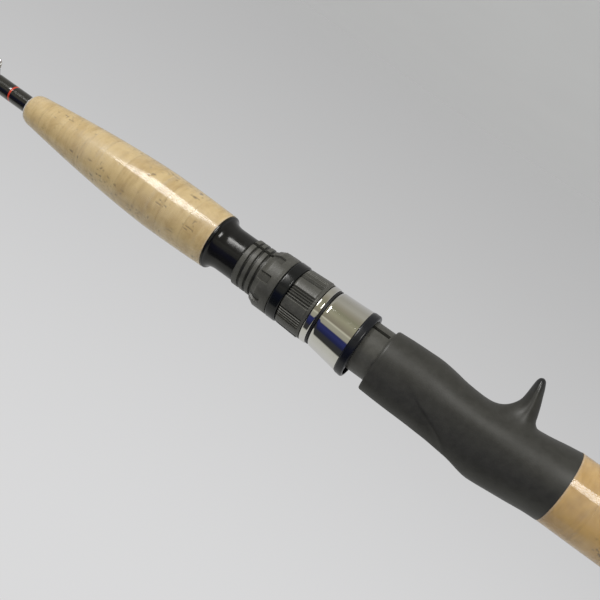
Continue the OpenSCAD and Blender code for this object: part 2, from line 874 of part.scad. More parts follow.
module keeper_wrap() {
    foot_x = keeper_wrap_end_x - keeper_foot_l;
    length = keeper_wrap_length;
    r = keeper_wrap_r;
    groove_r = r - 0.3;
    chamfer = 0.25;
    color(black)
        difference() {
            along_x(foregrip_end_x)
                rotate_extrude()
                    polygon([
                        [blank_r(foregrip_end_x) + glue, 0],
                        [r, 0],
                        [r, keeper_band_at],
                        [groove_r, keeper_band_at],
                        [groove_r, keeper_band_at + keeper_band_w],
                        [r, keeper_band_at + keeper_band_w],
                        [r, length - chamfer],
                        [r - chamfer, length],
                        [blank_r(keeper_wrap_end_x) + glue, length]
                    ]);
            keeper_slot(foot_x - glue, keeper_wrap_end_x + 1);
        }
}

module keeper_trim_band() {
    band_x = foregrip_end_x + keeper_band_at;
    r = keeper_wrap_r;
    color([0.67, 0.14, 0.11])
        tube_x(band_x, band_x + keeper_band_w, r, r, r - 0.25, r - 0.25);
}

module keeper_front_wrap() {
    start = keeper_loop_end_x;
    color(black)
        difference() {
            ring_on_blank(start, start + keeper_foot_l + 3, keeper_wrap_r + 0.3, 0.5);
            keeper_slot(start - 1, start + keeper_foot_l + glue);
        }
}

// The keeper: two flat feet under the wraps, and a loop of wire between them
module hook_keeper() {
    foot_top = blank_r(keeper_wrap_end_x - keeper_foot_l) + glue;
    wire_z = -foot_top - keeper_wire_d / 2;
    low_z = -foot_top - keeper_height;
    lean = keeper_loop / 6;
    points = [
        [keeper_wrap_end_x + 0.7, 0, wire_z],
        [keeper_wrap_end_x + 0.7 + lean, 0, low_z],
        [keeper_loop_end_x - 0.7 - lean, 0, low_z],
        [keeper_loop_end_x - 0.7, 0, wire_z]
    ];
    color(chrome) {
        translate(points[0])
            sphere(d = keeper_wire_d * 1.12);
        for (k = [0 : len(points) - 2])
            wire(points[k], points[k + 1], keeper_wire_d);
        for (x = [keeper_wrap_end_x - keeper_foot_l, keeper_loop_end_x - 1.2])
            translate([x, -keeper_foot_w / 2, -foot_top - keeper_foot_t])
                cube([keeper_foot_l + 1.2, keeper_foot_w, keeper_foot_t]);
    }
}

// ---------- guides ----------

module ceramic_ring(x, height, ring_d) {
    r = ring_d / 2;
    wall = 0.9 + ring_d * 0.05;
    half_l = 1.1;
    bevel = 0.4;
    color(ceramic)
        translate([0, 0, height])
            along_x(x - half_l)
                rotate_extrude()
                    polygon([
                        [r - wall, bevel],
                        [r - wall + bevel, 0],
                        [r - bevel, 0],
                        [r, bevel],
                        [r, 2 * half_l - bevel],
                        [r - bevel, 2 * half_l],
                        [r - wall + bevel, 2 * half_l],
                        [r - wall, 2 * half_l - bevel]
                    ]);
}

module ring_collar(x, height, ring_d) {
    r = ring_d / 2 + glue;
    translate([0, 0, height])
        tube_x(x - 0.8, x + 0.8, r + 0.7, r + 0.7, r, r);
}

module guide_frame(i) {
    x = guide_x(i);
    height = guide_height(i);
    leg = guide_leg_l(i);
    foot_l = guide_foot_l(i);
    rear_x = x - leg;
    front_x = x + leg * 0.8;
    rear_z = blank_r(rear_x - foot_l) + glue;
    front_z = blank_r(front_x) + glue;
    collar_r = guide_ring_d[i] / 2 + 0.68;
    foot_w = 1.8;
    color([0.3, 0.3, 0.32]) {
        ring_collar(x, height, guide_ring_d[i]);
        translate([rear_x - foot_l, -foot_w / 2, rear_z])
            cube([foot_l + 0.6, foot_w, foot_t]);
        translate([front_x - 0.6, -foot_w / 2, front_z])
            cube([foot_l + 0.6, foot_w, foot_t]);
        wire([rear_x, 0, rear_z + foot_t / 2], [x, 0, height - collar_r], guide_wire_d * 0.9);
        for (side = [-1, 1])
            wire(
                [front_x, side * 0.3, front_z + foot_t / 2],
                [x, side * collar_r * 0.87, height - collar_r * 0.5],
                guide_wire_d * 0.9
            );
    }
}

module guide_ring(i) {
    ceramic_ring(guide_x(i), guide_height(i), guide_ring_d[i]);
}

// Thread wraps over the two feet, each a tapered ring with a slot for its foot
module guide_wraps(i) {
    x = guide_x(i);
    leg = guide_leg_l(i);
    foot_l = guide_foot_l(i);
    rear_x = x - leg;
    front_x = x + leg * 0.8;
    slot_w = 1.8 + 2 * glue;
    color(black) {
        difference() {
            ring_on_blank(rear_x - foot_l - 2, rear_x - 1.2, blank_r(rear_x) + wrap_t, 0.6);
            translate([rear_x - foot_l - glue, -slot_w / 2, 0])
                cube([foot_l + 1, slot_w, blank_r(rear_x - foot_l) + foot_t + 2 * glue]);
        }
        difference() {
            ring_on_blank(front_x + 1.2, front_x + foot_l + 2, blank_r(front_x) + wrap_t, 0.6);
            translate([front_x, -slot_w / 2, 0])
                cube([foot_l + glue, slot_w, blank_r(front_x) + foot_t + 2 * glue]);
        }
    }
}

// ---------- tip ----------

tip_tube_l = 14;
tip_tube_r = blank_r(rod_length - tip_tube_l) + glue + 0.4;
tip_ring_x = rod_length + 2;
tip_ring_z = tip_ring_d / 2 + 4;

module tip_top() {
    start = rod_length - tip_tube_l;
    collar_r = tip_ring_d / 2 + 0.68;
    bore = blank_r(start) + glue;
    color([0.3, 0.3, 0.32]) {
        difference() {
            union() {
                along_x(start)
                    cylinder(h = tip_tube_l, r = tip_tube_r);
                ring_collar(tip_ring_x, tip_ring_z, tip_ring_d);
                wire([rod_length - 1, 0, tip_tube_r - 0.3], [tip_ring_x, 0, tip_ring_z - collar_r], guide_wire_d * 0.9);
                for (side = [-1, 1])
                    wire(
                        [start + 3, side * (tip_tube_r - 0.2), 0.4],
                        [tip_ring_x, side * collar_r * 0.87, tip_ring_z - collar_r * 0.5],
                        guide_wire_d * 0.8
                    );
            }
            along_x(start - 1)
                cylinder(h = tip_tube_l + 0.2, r = bore);
        }
    }
}

module tip_top_ring() {
    ceramic_ring(tip_ring_x, tip_ring_z, tip_ring_d);
}

module tip_top_wrap() {
    end = rod_length - tip_tube_l - 0.1;
    color(black)
        ring_on_blank(end - 8, end, tip_tube_r, 0.3);
}

// ---------- assembly ----------

FIXED = [
    "butt_cap", "rear_trim_ring", "rear_grip_cork", "rear_grip_film", "butt_blank", "rear_arbor",
    "middle_arbor", "front_arbor", "seat_tube", "trigger_body", "foregrip_trim_sleeve", "foregrip_cork",
    "foregrip_film", "keeper_wrap", "keeper_trim_band", "keeper_front_wrap", "hook_keeper",
    "butt_joint_wrap", "ferrule_spigot"
];
MOVING = [
    "hood_shell", "hood_liner", "hood_bumper", "groove_ring", "retaining_ring", "clamp_nut",
    "thrust_ring", "lock_nut", "tip_blank", "tip_joint_wrap", "tip_top", "tip_top_ring", "tip_top_wrap"
];
GUIDES = [
    for (i = [0 : guide_count - 1])
        each [str("guide_frame_", i + 1), str("guide_ring_", i + 1), str("guide_wraps_", i + 1)]
];

butt_cap();
rear_trim_ring();
rear_grip_cork();
rear_grip_film();
butt_blank();
rear_arbor();
middle_arbor();
front_arbor();
seat_tube();
trigger_body();
foregrip_trim_sleeve();
foregrip_cork();
foregrip_film();
keeper_wrap();
keeper_trim_band();
keeper_front_wrap();
hook_keeper();
butt_joint_wrap();
ferrule_spigot();
hood_shell();
hood_liner();
hood_bumper();
groove_ring();
retaining_ring();
clamp_nut();
thrust_ring();
lock_nut();
tip_blank();
tip_joint_wrap();
tip_top();
tip_top_ring();
tip_top_wrap();
for (i = [0 : guide_count - 1]) {
    guide_frame(i);
    guide_ring(i);
    guide_wraps(i);
}
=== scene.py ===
"""Casting rod: fine surfaces, finishes and a stage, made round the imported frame."""
import math

import bmesh
import bpy
import numpy as np
from mathutils import Matrix, Vector


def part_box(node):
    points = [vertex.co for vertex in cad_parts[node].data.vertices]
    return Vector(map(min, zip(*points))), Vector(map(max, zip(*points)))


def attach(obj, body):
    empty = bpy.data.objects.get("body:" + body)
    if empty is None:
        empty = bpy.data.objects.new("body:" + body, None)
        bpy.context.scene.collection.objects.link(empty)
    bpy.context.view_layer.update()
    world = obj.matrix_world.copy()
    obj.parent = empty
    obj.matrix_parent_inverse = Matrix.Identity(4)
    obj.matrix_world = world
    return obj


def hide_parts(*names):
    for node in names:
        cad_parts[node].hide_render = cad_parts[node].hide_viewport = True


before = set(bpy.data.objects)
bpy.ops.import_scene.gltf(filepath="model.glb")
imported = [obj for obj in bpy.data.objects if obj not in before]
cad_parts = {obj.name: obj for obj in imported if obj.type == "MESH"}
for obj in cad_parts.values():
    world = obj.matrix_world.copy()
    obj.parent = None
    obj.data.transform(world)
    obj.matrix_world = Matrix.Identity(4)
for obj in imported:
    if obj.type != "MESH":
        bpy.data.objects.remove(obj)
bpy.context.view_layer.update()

bl_info = {
    "name": "Casting rod pieces",
    "version": (1, 0, 0),
    "blender": (4, 5, 0),
    "location": "3D View > Sidebar > Rod",
    "description": "Fine surfaces, finishes and a stage for a two-piece casting rod",
    "category": "Add Mesh",
}

MM = 0.001
TURN = 2 * math.pi
GUIDES = 8
ROD_LENGTH = 1980.0     # mm, the blank's taper runs over this
GAP = 0.05              # mm, between glued pieces
FORE_RINGS, REAR_RINGS = 9, 16
WIRE = 0.54             # mm, half the thickness of the guides' wire
SENSOR = 36             # mm, width of the camera's sensor
SHARP = 38.0            # degrees, faces that meet at more are shaded apart


# ---------- sizes read from the frame, in millimetres ----------

def span(node):
    """First and last station of a node along the rod."""
    low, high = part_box(node)
    return low[0] / MM, high[0] / MM


def half_width(node):
    """Largest half width of a node across the rod."""
    low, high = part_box(node)
    return (high[1] - low[1]) / 2 / MM


CAP_X = span("butt_cap")
TRIM_X = span("rear_trim_ring")
REAR_X = span("rear_grip_cork")
BODY_X = span("trigger_body")
TUBE_X = span("seat_tube")
BUMPER_X = span("hood_bumper")
HOOD_X = span("hood_shell")
GROOVE_X = span("groove_ring")
RETAIN_X = span("retaining_ring")
CLAMP_X = (RETAIN_X[1] + 0.15, span("clamp_nut")[1])
THRUST_X = span("thrust_ring")
LOCK_X = span("lock_nut")
SLEEVE_X = span("foregrip_trim_sleeve")
FORE_X = (SLEEVE_X[1], span("keeper_wrap")[0])
KEEPER_X = span("keeper_wrap")
FRONT_WRAP_X = span("keeper_front_wrap")
BAND_X = span("keeper_trim_band")
TIP_X = span("tip_blank")
BUTT_BLANK_X = span("butt_blank")
TUBE_R = half_width("seat_tube")
FILM = half_width("rear_grip_film") - half_width("rear_grip_cork")


# ---------- settings that a user would change ----------

def length(label, text, value, low, high):
    """A length property, given in millimetres and kept in metres."""
    return bpy.props.FloatProperty(
        name=label, description=text, default=value * MM, min=low * MM, max=high * MM,
        unit="LENGTH", subtype="DISTANCE", precision=5)


def colour(label, text, value):
    """A colour property in linear light."""
    return bpy.props.FloatVectorProperty(
        name=label, description=text, default=value, size=3, min=0, max=1, subtype="COLOR")


class RodSizes(bpy.types.PropertyGroup):
    """Sizes of the small features that the frame leaves to the fine surfaces."""
    blank_butt: length("Blank at the butt", "Diameter of the blank at the butt", 8.8, 7, 11)
    blank_tip: length("Blank at the tip", "Diameter of the blank at the tip", 2.0, 1.5, 3)
    thread_pitch: length("Thread pitch", "Pitch of the seat's thread", 3.0, 2, 4)
    thread_groove: length("Thread groove", "Depth of the groove between two ridges", 0.8, 0.3, 1.2)
    keyway_width: length("Keyway width", "Width of the two keyways", 1.6, 1, 2)
    pit_depth: length("Cork pits", "Depth of the pits in the cork", 0.10, 0, 0.6)
    trigger_reach: length("Trigger reach", "From the rod's axis to the trigger's tip", 30.1, 27, 34)
    trigger_place: length("Trigger place", "From the body's rear face to the trigger", 26, 22, 30)


class RodColours(bpy.types.PropertyGroup):
    """Colours of the finishes."""
    cork_light: colour("Cork, light", "Light parts of the foregrip's cork", (0.64, 0.475, 0.225))
    cork_dark: colour("Cork, dark", "Dark parts of the foregrip's cork", (0.45, 0.300, 0.110))
    rear_light: colour("Rear cork, light", "Light parts of the rear cork", (0.60, 0.370, 0.110))
    rear_dark: colour("Rear cork, dark", "Dark parts of the rear cork", (0.42, 0.240, 0.058))
    cork_pit: colour("Cork pits", "Bottom of the pits", (0.085, 0.055, 0.028))
    seat: colour("Seat", "Moulded resin of the body and the tube", (0.030, 0.0295, 0.0265))
    nut: colour("Nuts", "Moulded resin of the two nuts", (0.068, 0.067, 0.060))
    black: colour("Black", "Gloss black of the wraps, the sleeve and the blank", (0.006, 0.006, 0.007))
    band: colour("Band", "Thread of the trim band", (0.62, 0.045, 0.015))
    bumper: colour("Bumper", "Rubber of the hood's end ring", (0.004, 0.005, 0.010))


class RodStage(bpy.types.PropertyGroup):
    """Camera and light."""
    camera_foot: length("Camera foot", "Station that the camera stands beside", 278.9, 100, 600)
    camera_aim: length("Camera aim", "Station that the camera looks at", 346.9, 100, 600)
    camera_distance: length("Camera distance", "From the camera to the rod's axis", 312, 200, 900)
    camera_lean: bpy.props.FloatProperty(
        name="Camera lean", description="How far the camera stands below the rod's side",
        default=math.radians(8), unit="ROTATION", subtype="ANGLE")
    camera_roll: bpy.props.FloatProperty(
        name="Camera roll", description="Slope of the rod in the picture",
        default=math.radians(35.7), unit="ROTATION", subtype="ANGLE")
    lens: bpy.props.FloatProperty(
        name="Lens", description="Focal length", default=47.1, min=20, max=135,
        unit="CAMERA", subtype="DISTANCE_CAMERA")
    floor_depth: length("Floor depth", "From the rod's axis down to the floor", 780, 200, 1200)
    key_power: bpy.props.FloatProperty(
        name="Front lamp", description="Power of the front lamp, in watts", default=3.3, min=0, max=200,
        unit="POWER")


# ---------- curves and noise ----------

def smooth_step(low, high, value):
    """0 below low, 1 above high, and the cubic 3t^2 - 2t^3 between them."""
    t = np.clip((value - low) / (high - low), 0, 1)
    return t * t * (3 - 2 * t)


def through(stations, values, at):
    """Cubic Hermite curve through stations and values, its slopes taken from the two neighbours."""
    stations = np.asarray(stations, float)
    values = np.asarray(values, float)
    flat = values.reshape(len(stations), -1)
    slope = np.gradient(flat, stations, axis=0)
    at = np.clip(np.asarray(at, float), stations[0], stations[-1])
    i = np.clip(np.searchsorted(stations, at, side="right") - 1, 0, len(stations) - 2)
    gap = (stations[i + 1] - stations[i])[..., None]
    t = ((at - stations[i])[..., None]) / gap
    out = (
        (1 + 2 * t) * (1 - t) ** 2 * flat[i]
        + t * (1 - t) ** 2 * gap * slope[i]
        + t * t * (3 - 2 * t) * flat[i + 1]
        + t * t * (t - 1) * gap * slope[i + 1]
    )
    return out.reshape(at.shape + values.shape[1:])


def lattice(cells, seed):
    """One repeatable value from 0 to 1 for each whole-number cell of a 3-D lattice."""
    c = cells.astype(np.int64)
    h = c[..., 0] * 374761393 + c[..., 1] * 668265263 + c[..., 2] * 2147483647 + seed * 144269
    h = (h ^ (h >> 13)) * 1274126177
    h = (h ^ (h >> 16)) & 0xFFFFFF
    return h / float(0xFFFFFF)


def value_noise(points, seed):
    """Smooth noise from 0 to 1: lattice values blended with 3t^2 - 2t^3 along each axis."""
    base = np.floor(points)
    t = points - base
    t = t * t * (3 - 2 * t)
    total = np.zeros(points.shape[:-1])
    for corner in range(8):
        pick = np.array([corner & 1, corner >> 1 & 1, corner >> 2 & 1])
        weight = np.prod(np.where(pick, t, 1 - t), axis=-1)
        total += weight * lattice(base + pick, seed)
    return total


# ---------- outlines, grids and meshes ----------

def soften(outline, radius, steps=4):
    """Closed outline with each corner swapped for a parabola that starts and ends radius away.

    Returns the points and, for each, 1 at the top of an outward corner, falling to 0 at its ends."""
    p = np.asarray(outline, float)
    back, ahead = np.roll(p, 1, 0) - p, np.roll(p, -1, 0) - p
    back_l = np.linalg.norm(back, axis=1, keepdims=True)
    ahead_l = np.linalg.norm(ahead, axis=1, keepdims=True)
    reach = np.minimum(np.broadcast_to(np.asarray(radius, float), (len(p),))[:, None],
                       0.45 * np.minimum(back_l, ahead_l))
    start, end = p + back / back_l * reach, p + ahead / ahead_l * reach
    t = np.linspace(0, 1, steps + 1)[None, :, None]
    arc = (1 - t) ** 2 * start[:, None] + 2 * t * (1 - t) * p[:, None] + t ** 2 * end[:, None]
    cross = back[:, 0] * ahead[:, 1] - back[:, 1] * ahead[:, 0]
    area = np.sum(p[:, 0] * np.roll(p[:, 1], -1) - np.roll(p[:, 0], -1) * p[:, 1])
    outward = (cross * area < 0).astype(float)[:, None]
    # weight of each outward corner; resin pieces are paler there, partly as wear and partly as a painted
    # highlight
    wear = outward * (4 * t[..., 0] * (1 - t[..., 0]))
    return arc.reshape(-1, 2), wear.reshape(-1)


def angles(count):
    """Evenly spaced angles round the rod; 0 faces +Y and a quarter turn faces +Z."""
    return np.arange(count) * TURN / count


def turned(rows, around, rise=0.0):
    """Grid of points: each row (station, radius) goes once round the rod, its centre raised by rise."""
    rows = np.asarray(rows, float)
    a = np.asarray(around, float)[None, :]
    x = np.broadcast_to(rows[:, :1], (len(rows), a.shape[1]))
    rise = np.broadcast_to(np.asarray(rise, float).reshape(-1, 1), x.shape)
    return np.stack([x, rows[:, 1:2] * np.cos(a), rows[:, 1:2] * np.sin(a) + rise], -1)


def round_grid(stations, radii, around):
    """Grid of points at each station, with a radius of its own for each angle."""
    x = np.broadcast_to(stations[:, None], radii.shape)
    return np.stack([x, radii * np.cos(around), radii * np.sin(around)], -1)


def ring_place(node):
    """Station, height and diameter of a guide's ring."""
    low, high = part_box(node)
    return (low[0] + high[0]) / 2 / MM, (low[2] + high[2]) / 2 / MM, (high[2] - low[2]) / MM


def grid_faces(rows, columns, loop_rows, loop_columns):
    """Corners of the four-sided faces of a grid, closed on itself where asked."""
    i = np.arange(rows if loop_rows else rows - 1)[:, None]
    j = np.arange(columns if loop_columns else columns - 1)[None, :]
    i2, j2 = (i + 1) % rows, (j + 1) % columns
    return np.stack(np.broadcast_arrays(
        i * columns + j, i2 * columns + j, i2 * columns + j2, i * columns + j2), -1).reshape(-1, 4)


def skin(grid, loop_rows=True, **marks):
    """A grid closed round its columns, as points, faces and named marks for each point."""
    rows, columns = grid.shape[:2]
    flat = {k: np.broadcast_to(v if np.ndim(v) == 2 else np.asarray(v, float)[:, None],
                               (rows, columns)).reshape(-1) for k, v in marks.items()}
    return grid.reshape(-1, 3), grid_faces(rows, columns, loop_rows, True), flat


def sweep(path, across, thick, around=14):
    """Closed tube: an oval with half sizes across and thick, carried along path; across lies nearest to Y."""
    path = np.asarray(path, float)
    n = len(path)
    across = np.broadcast_to(np.asarray(across, float), (n,))
    thick = np.broadcast_to(np.asarray(thick, float), (n,))
    forward = np.gradient(path, axis=0)
    forward /= np.linalg.norm(forward, axis=1, keepdims=True)
    side = np.array([0.0, 1.0, 0.0]) - forward * forward[:, 1:2]
    side /= np.linalg.norm(side, axis=1, keepdims=True)
    up = np.cross(forward, side)
    end = 0.6 * min(thick[0], thick[-1])
    ease = np.array([0.0, 0.5, 0.8, 0.95])
    back = np.array([1.0, 0.8, 0.45, 0.15])
    rows = np.concatenate([np.zeros(4, int), np.arange(n), np.full(4, n - 1)])
    grow = np.concatenate([ease, np.ones(n), ease[::-1]])
    shift = np.concatenate([-back, np.zeros(n), back[::-1]]) * end
    a = angles(around)[None, :, None]
    grid = (
        (path[rows] + forward[rows] * shift[:, None])[:, None]
        + side[rows][:, None] * (across[rows] * grow)[:, None, None] * np.cos(a)
        + up[rows][:, None] * (thick[rows] * grow)[:, None, None] * np.sin(a)
    )
    return skin(grid, loop_rows=False)


def smooth_path(points, count=40):
    """Smooth line through points, evenly spaced by the lengths of the straight lines between them."""
    points = np.asarray(points, float)
    reach = np.concatenate([[0], np.cumsum(np.linalg.norm(np.diff(points, axis=0), axis=1))])
    return through(reach, points, np.linspace(0, reach[-1], count))


def piece(name, skins, finish, body, slot, *nodes, sharp=SHARP):
    """A mesh object in metres made from skins, with the name of its finish, the body that it rides on, the
    name of a material slot, which is not used, and the CAD nodes that it stands for. Doubles at poles
    are merged and faces turned outwards."""
    points, faces, start = [], [], 0
    names = sorted({k for s in skins for k in s[2]})
    for p, f, _ in skins:
        points.append(p)
        faces.append(f + start)
        start += len(p)
    points, faces = np.concatenate(points) * MM, np.concatenate(faces)
    mesh = bpy.data.meshes.new(name)
    mesh.vertices.add(len(points))
    mesh.vertices.foreach_set("co", points.astype(np.float32).ravel())
    mesh.loops.add(faces.size)
    mesh.loops.foreach_set("vertex_index", faces.astype(np.int32).ravel())
    mesh.polygons.add(len(faces))
    mesh.polygons.foreach_set("loop_start", np.arange(0, faces.size, 4, dtype=np.int32))
    for key in names:
        values = np.concatenate([s[2].get(key, np.zeros(len(s[0]))) for s in skins])
        mesh.attributes.new(key, "FLOAT", "POINT").data.foreach_set("value", values.astype(np.float32))
    mesh.update(calc_edges=True)
    tidy = bmesh.new()
    tidy.from_mesh(mesh)
    bmesh.ops.remove_doubles(tidy, verts=tidy.verts, dist=1e-7)
    bmesh.ops.recalc_face_normals(tidy, faces=tidy.faces)
    tidy.to_mesh(mesh)
    tidy.free()
    mesh.shade_smooth()
    mesh.set_sharp_from_angle(angle=math.radians(sharp))
    obj = bpy.data.objects.new(name, mesh)
    bpy.context.scene.collection.objects.link(obj)
    mesh.materials.append(FINISHES[finish])
    if body:
        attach(obj, body)
    if nodes:
        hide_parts(*nodes)
    return obj


def ring(outline, radius, around=128, rise=0.0, steps=4):
    """Ring or tube turned from a closed outline of (station, radius) points with softened corners."""
    rows, wear = soften(outline, radius, steps)
    return skin(turned(rows, angles(around), rise), wear=wear)


def cut(obj, *skins):
    """Takes closed skins out of a piece with a boolean, applied at once."""
    tool = piece("cutter", skins, obj.data.materials[0].name, None, None)
    step = obj.modifiers.new("cut", "BOOLEAN")
    step.operation, step.solver, step.object = "DIFFERENCE", "EXACT", tool
    done = bpy.data.meshes.new_from_object(obj.evaluated_get(bpy.context.evaluated_depsgraph_get()))
    obj.modifiers.clear()
    old = obj.data
    obj.data = done
    done.name = old.name
    bpy.data.meshes.remove(old)
    bpy.data.objects.remove(tool, do_unlink=True)
    done.shade_smooth()
    done.set_sharp_from_angle(angle=math.radians(SHARP))


def prism(x, section):
    """Closed bar from x[0] to x[1] with a section of (y, z) points that bulges outwards."""
    section = np.asarray(section, float)
    middle = section.mean(axis=0)
    rows = [np.column_stack([np.full(len(section), at), middle + (section - middle) * grow])
            for at, grow in ((x[0], 0), (x[0], 1), (x[1], 1), (x[1], 0))]
    return skin(np.array(rows), loop_rows=False)


def block(x, y, z):
    """Closed box between three pairs of limits."""
    return prism(x, [[y[0], z[0]], [y[1], z[0]], [y[1], z[1]], [y[0], z[1]]])


# ---------- shader nodes ----------

def put(tree, kind, sockets=None, **settings):
    """Adds a node; a socket's value is a number, a colour or another node's output."""
    node = tree.nodes.new(kind)
    for key, value in settings.items():
        setattr(node, key, value)
    for key, value in (sockets or {}).items():
        if isinstance(value, bpy.types.NodeSocket):
            tree.links.new(value, node.inputs[key])
        else:
            node.inputs[key].default_value = value
    return node


def calc(tree, operation, *values):
    """Output of a Math node."""
    return put(tree, "ShaderNodeMath", dict(enumerate(values)), operation=operation).outputs[0]


def times(tree, first, second):
    """Output of a Math node that multiplies."""
    return calc(tree, "MULTIPLY", first, second)


def plus(tree, first, second):
    """Output of a Math node that adds."""
    return calc(tree, "ADD", first, second)


def minus(tree, first, second):
    """Output of a Math node that subtracts."""
    return calc(tree, "SUBTRACT", first, second)


def mark(tree, name):
    """Value of a mark that the mesh keeps for each point."""
    return put(tree, "ShaderNodeAttribute", attribute_name=name).outputs["Fac"]


def ramp(tree, value, low, high, to_low=0.0, to_high=1.0):
    """Value carried smoothly from low..high to to_low..to_high."""
    return put(tree, "ShaderNodeMapRange", {
        "Value": value, "From Min": low, "From Max": high, "To Min": to_low, "To Max": to_high,
    }, interpolation_type="SMOOTHSTEP").outputs["Result"]


def blend(tree, share, first, second, how="MIX"):
    """Colour between first and second."""
    return put(tree, "ShaderNodeMix", {0: share, 6: first, 7: second}, data_type="RGBA",
               blend_type=how).outputs[2]


def place(tree, scale=(1, 1, 1)):
    """Object coordinates, in metres along the rod's frame, stretched by scale."""
    here = put(tree, "ShaderNodeTexCoord").outputs["Object"]
    return put(tree, "ShaderNodeMapping", {"Vector": here, "Scale": scale}).outputs[0]


def station(tree):
    """Place along the rod, in metres from the butt."""
    here = put(tree, "ShaderNodeTexCoord").outputs["Object"]
    return put(tree, "ShaderNodeSeparateXYZ", {0: here}).outputs[0]


def noise(tree, vector, scale, detail=2.0, roughness=0.5, distortion=0.0):
    """Value of a Noise node."""
    return put(tree, "ShaderNodeTexNoise", {
        "Vector": vector, "Scale": scale, "Detail": detail, "Roughness": roughness,
        "Distortion": distortion}).outputs["Fac"]


def band(tree, value, stops):
    """Colour ramp with a stop for each (place, colour)."""
    node = put(tree, "ShaderNodeValToRGB", {"Fac": value})
    for number, (at, tone) in enumerate(stops):
        stop = node.color_ramp.elements[number] if number < 2 else node.color_ramp.elements.new(at)
        stop.position, stop.color = at, (*tone, 1.0)
    return node.outputs["Color"]


def bump(tree, height, distance, strength=1.0):
    """Normal from a height given in metres times distance."""
    return put(tree, "ShaderNodeBump", {
        "Height": height, "Distance": distance, "Strength": strength}).outputs["Normal"]


def effect(name, inputs, outputs):
    """Empty node group with its input and output sockets; made once."""
    tree = bpy.data.node_groups.new(name, "ShaderNodeTree")
    for title, kind, value in inputs:
        socket = tree.interface.new_socket(title, in_out="INPUT", socket_type="NodeSocket" + kind)
        socket.default_value = value
    for title, kind in outputs:
        tree.interface.new_socket(title, in_out="OUTPUT", socket_type="NodeSocket" + kind)
    return tree, tree.nodes.new("NodeGroupInput").outputs, tree.nodes.new("NodeGroupOutput")


def use(tree, name, **sockets):
    """Outputs of a placed node group."""
    node = tree.nodes.new("ShaderNodeGroup")
    node.node_tree = bpy.data.node_groups[name]
    for key, value in sockets.items():
        key = key.replace("_", " ")
        if isinstance(value, bpy.types.NodeSocket):
            tree.links.new(value, node.inputs[key])
        else:
            node.inputs[key].default_value = value
    return node.outputs


def make_grain_effect():
    """Fine grain: two sizes of noise. Height drives a bump, Shade a tone, Gloss a roughness."""
    tree, given, out = effect("Grain", [
        ("Size", "Float", 1500.0), ("Roughness", "Float", 0.5), ("Spread", "Float", 0.05),
    ], [("Height", "Float"), ("Shade", "Float"), ("Gloss", "Float")])
    here = place(tree)
    coarse = noise(tree, here, times(tree, given["Size"], 0.12), 3.0, 0.6)
    fine = noise(tree, here, given["Size"], 2.0, 0.6)
    height = plus(tree, fine, times(tree, coarse, 0.5))
    tree.links.new(height, out.inputs["Height"])
    tree.links.new(ramp(tree, coarse, 0.3, 0.7), out.inputs["Shade"])
    off = times(tree, minus(tree, coarse, 0.5), given["Spread"])
    tree.links.new(plus(tree, given["Roughness"], off), out.inputs["Gloss"])


def make_turned_effect():
    """Fine turning marks: noise squeezed along the rod, so that it runs in rings round it."""
    tree, given, out = effect("Turning marks", [("Count", "Float", 4000.0)], [("Height", "Float")])
    here = place(tree, (1, 0.02, 0.02))
    tree.links.new(noise(tree, here, given["Count"], 3.0, 0.7), out.inputs["Height"])


def make_smudge_effect():
    """Handling marks: broad soft noise, sharpened to patches, and a few thin scratches."""
    tree, given, out = effect("Smudges", [("Size", "Float", 90.0)], [("Mask", "Float"), ("Scratch", "Float")])
    broad = noise(tree, place(tree), given["Size"], 4.0, 0.6, 0.4)
    tree.links.new(ramp(tree, broad, 0.42, 0.68), out.inputs["Mask"])
    streak = noise(tree, place(tree, (0.25, 1.0, 1.7)), times(tree, given["Size"], 22), 2.0, 0.5, 0.6)
    tree.links.new(ramp(tree, streak, 0.70, 0.76), out.inputs["Scratch"])


def make_cork_effect():
    """Cork: each glued ring has its own tone; mottling, turned rings and lenticels vary it.

    The rings are counted along the rod from Start, each Ring long. Pits come from the mesh."""
    tree, given, out = effect("Cork", [
        ("Light", "Color", (0.6, 0.45, 0.25, 1)), ("Dark", "Color", (0.4, 0.26, 0.12, 1)),
        ("Hole", "Color", (0.08, 0.05, 0.03, 1)), ("Start", "Float", 0.0), ("Ring", "Float", 0.012),
    ], [("Color", "Color"), ("Height", "Float"), ("Rough", "Float")])
    along = station(tree)
    count = calc(tree, "DIVIDE", minus(tree, along, given["Start"]), given["Ring"])
    whole = calc(tree, "FLOOR", count)
    tone = put(tree, "ShaderNodeTexWhiteNoise", {"W": whole}, noise_dimensions="1D").outputs["Value"]
    seam = calc(tree, "ABSOLUTE", minus(tree, calc(tree, "FRACT", count), 0.5))
    seam = ramp(tree, seam, 0.470, 0.498)
    mottle = noise(tree, place(tree, (1, 0.55, 0.55)), 260.0, 5.0, 0.62, 0.5)
    cloud = noise(tree, place(tree), 55.0, 3.0, 0.5)
    lines = noise(tree, place(tree, (1, 0.035, 0.035)), 1500.0, 3.0, 0.65)
    specks = noise(tree, place(tree, (0.5, 1, 1)), 1150.0, 2.0, 0.6)
    fleck = ramp(tree, specks, 0.60, 0.72)
    share = plus(tree, times(tree, tone, 0.20), times(tree, mottle, 0.9))
    share = plus(tree, share, times(tree, minus(tree, lines, 0.5), 0.45))
    share = plus(tree, share, times(tree, minus(tree, cloud, 0.5), 0.7))
    base = blend(tree, ramp(tree, share, 0.35, 0.95), given["Light"], given["Dark"])
    base = blend(tree, times(tree, fleck, 0.30), base, given["Dark"])
    base = blend(tree, times(tree, seam, 0.10), base, given["Hole"])
    pit = mark(tree, "pit")
    base = blend(tree, ramp(tree, pit, 0.1, 0.9, 0.0, 0.62), base, given["Hole"])
    tree.links.new(base, out.inputs["Color"])
    height = plus(tree, times(tree, lines, 0.8), times(tree, specks, 0.4))
    tree.links.new(minus(tree, height, times(tree, seam, 0.8)), out.inputs["Height"])
    tree.links.new(ramp(tree, mottle, 0.3, 0.7, 0.42, 0.58), out.inputs["Rough"])


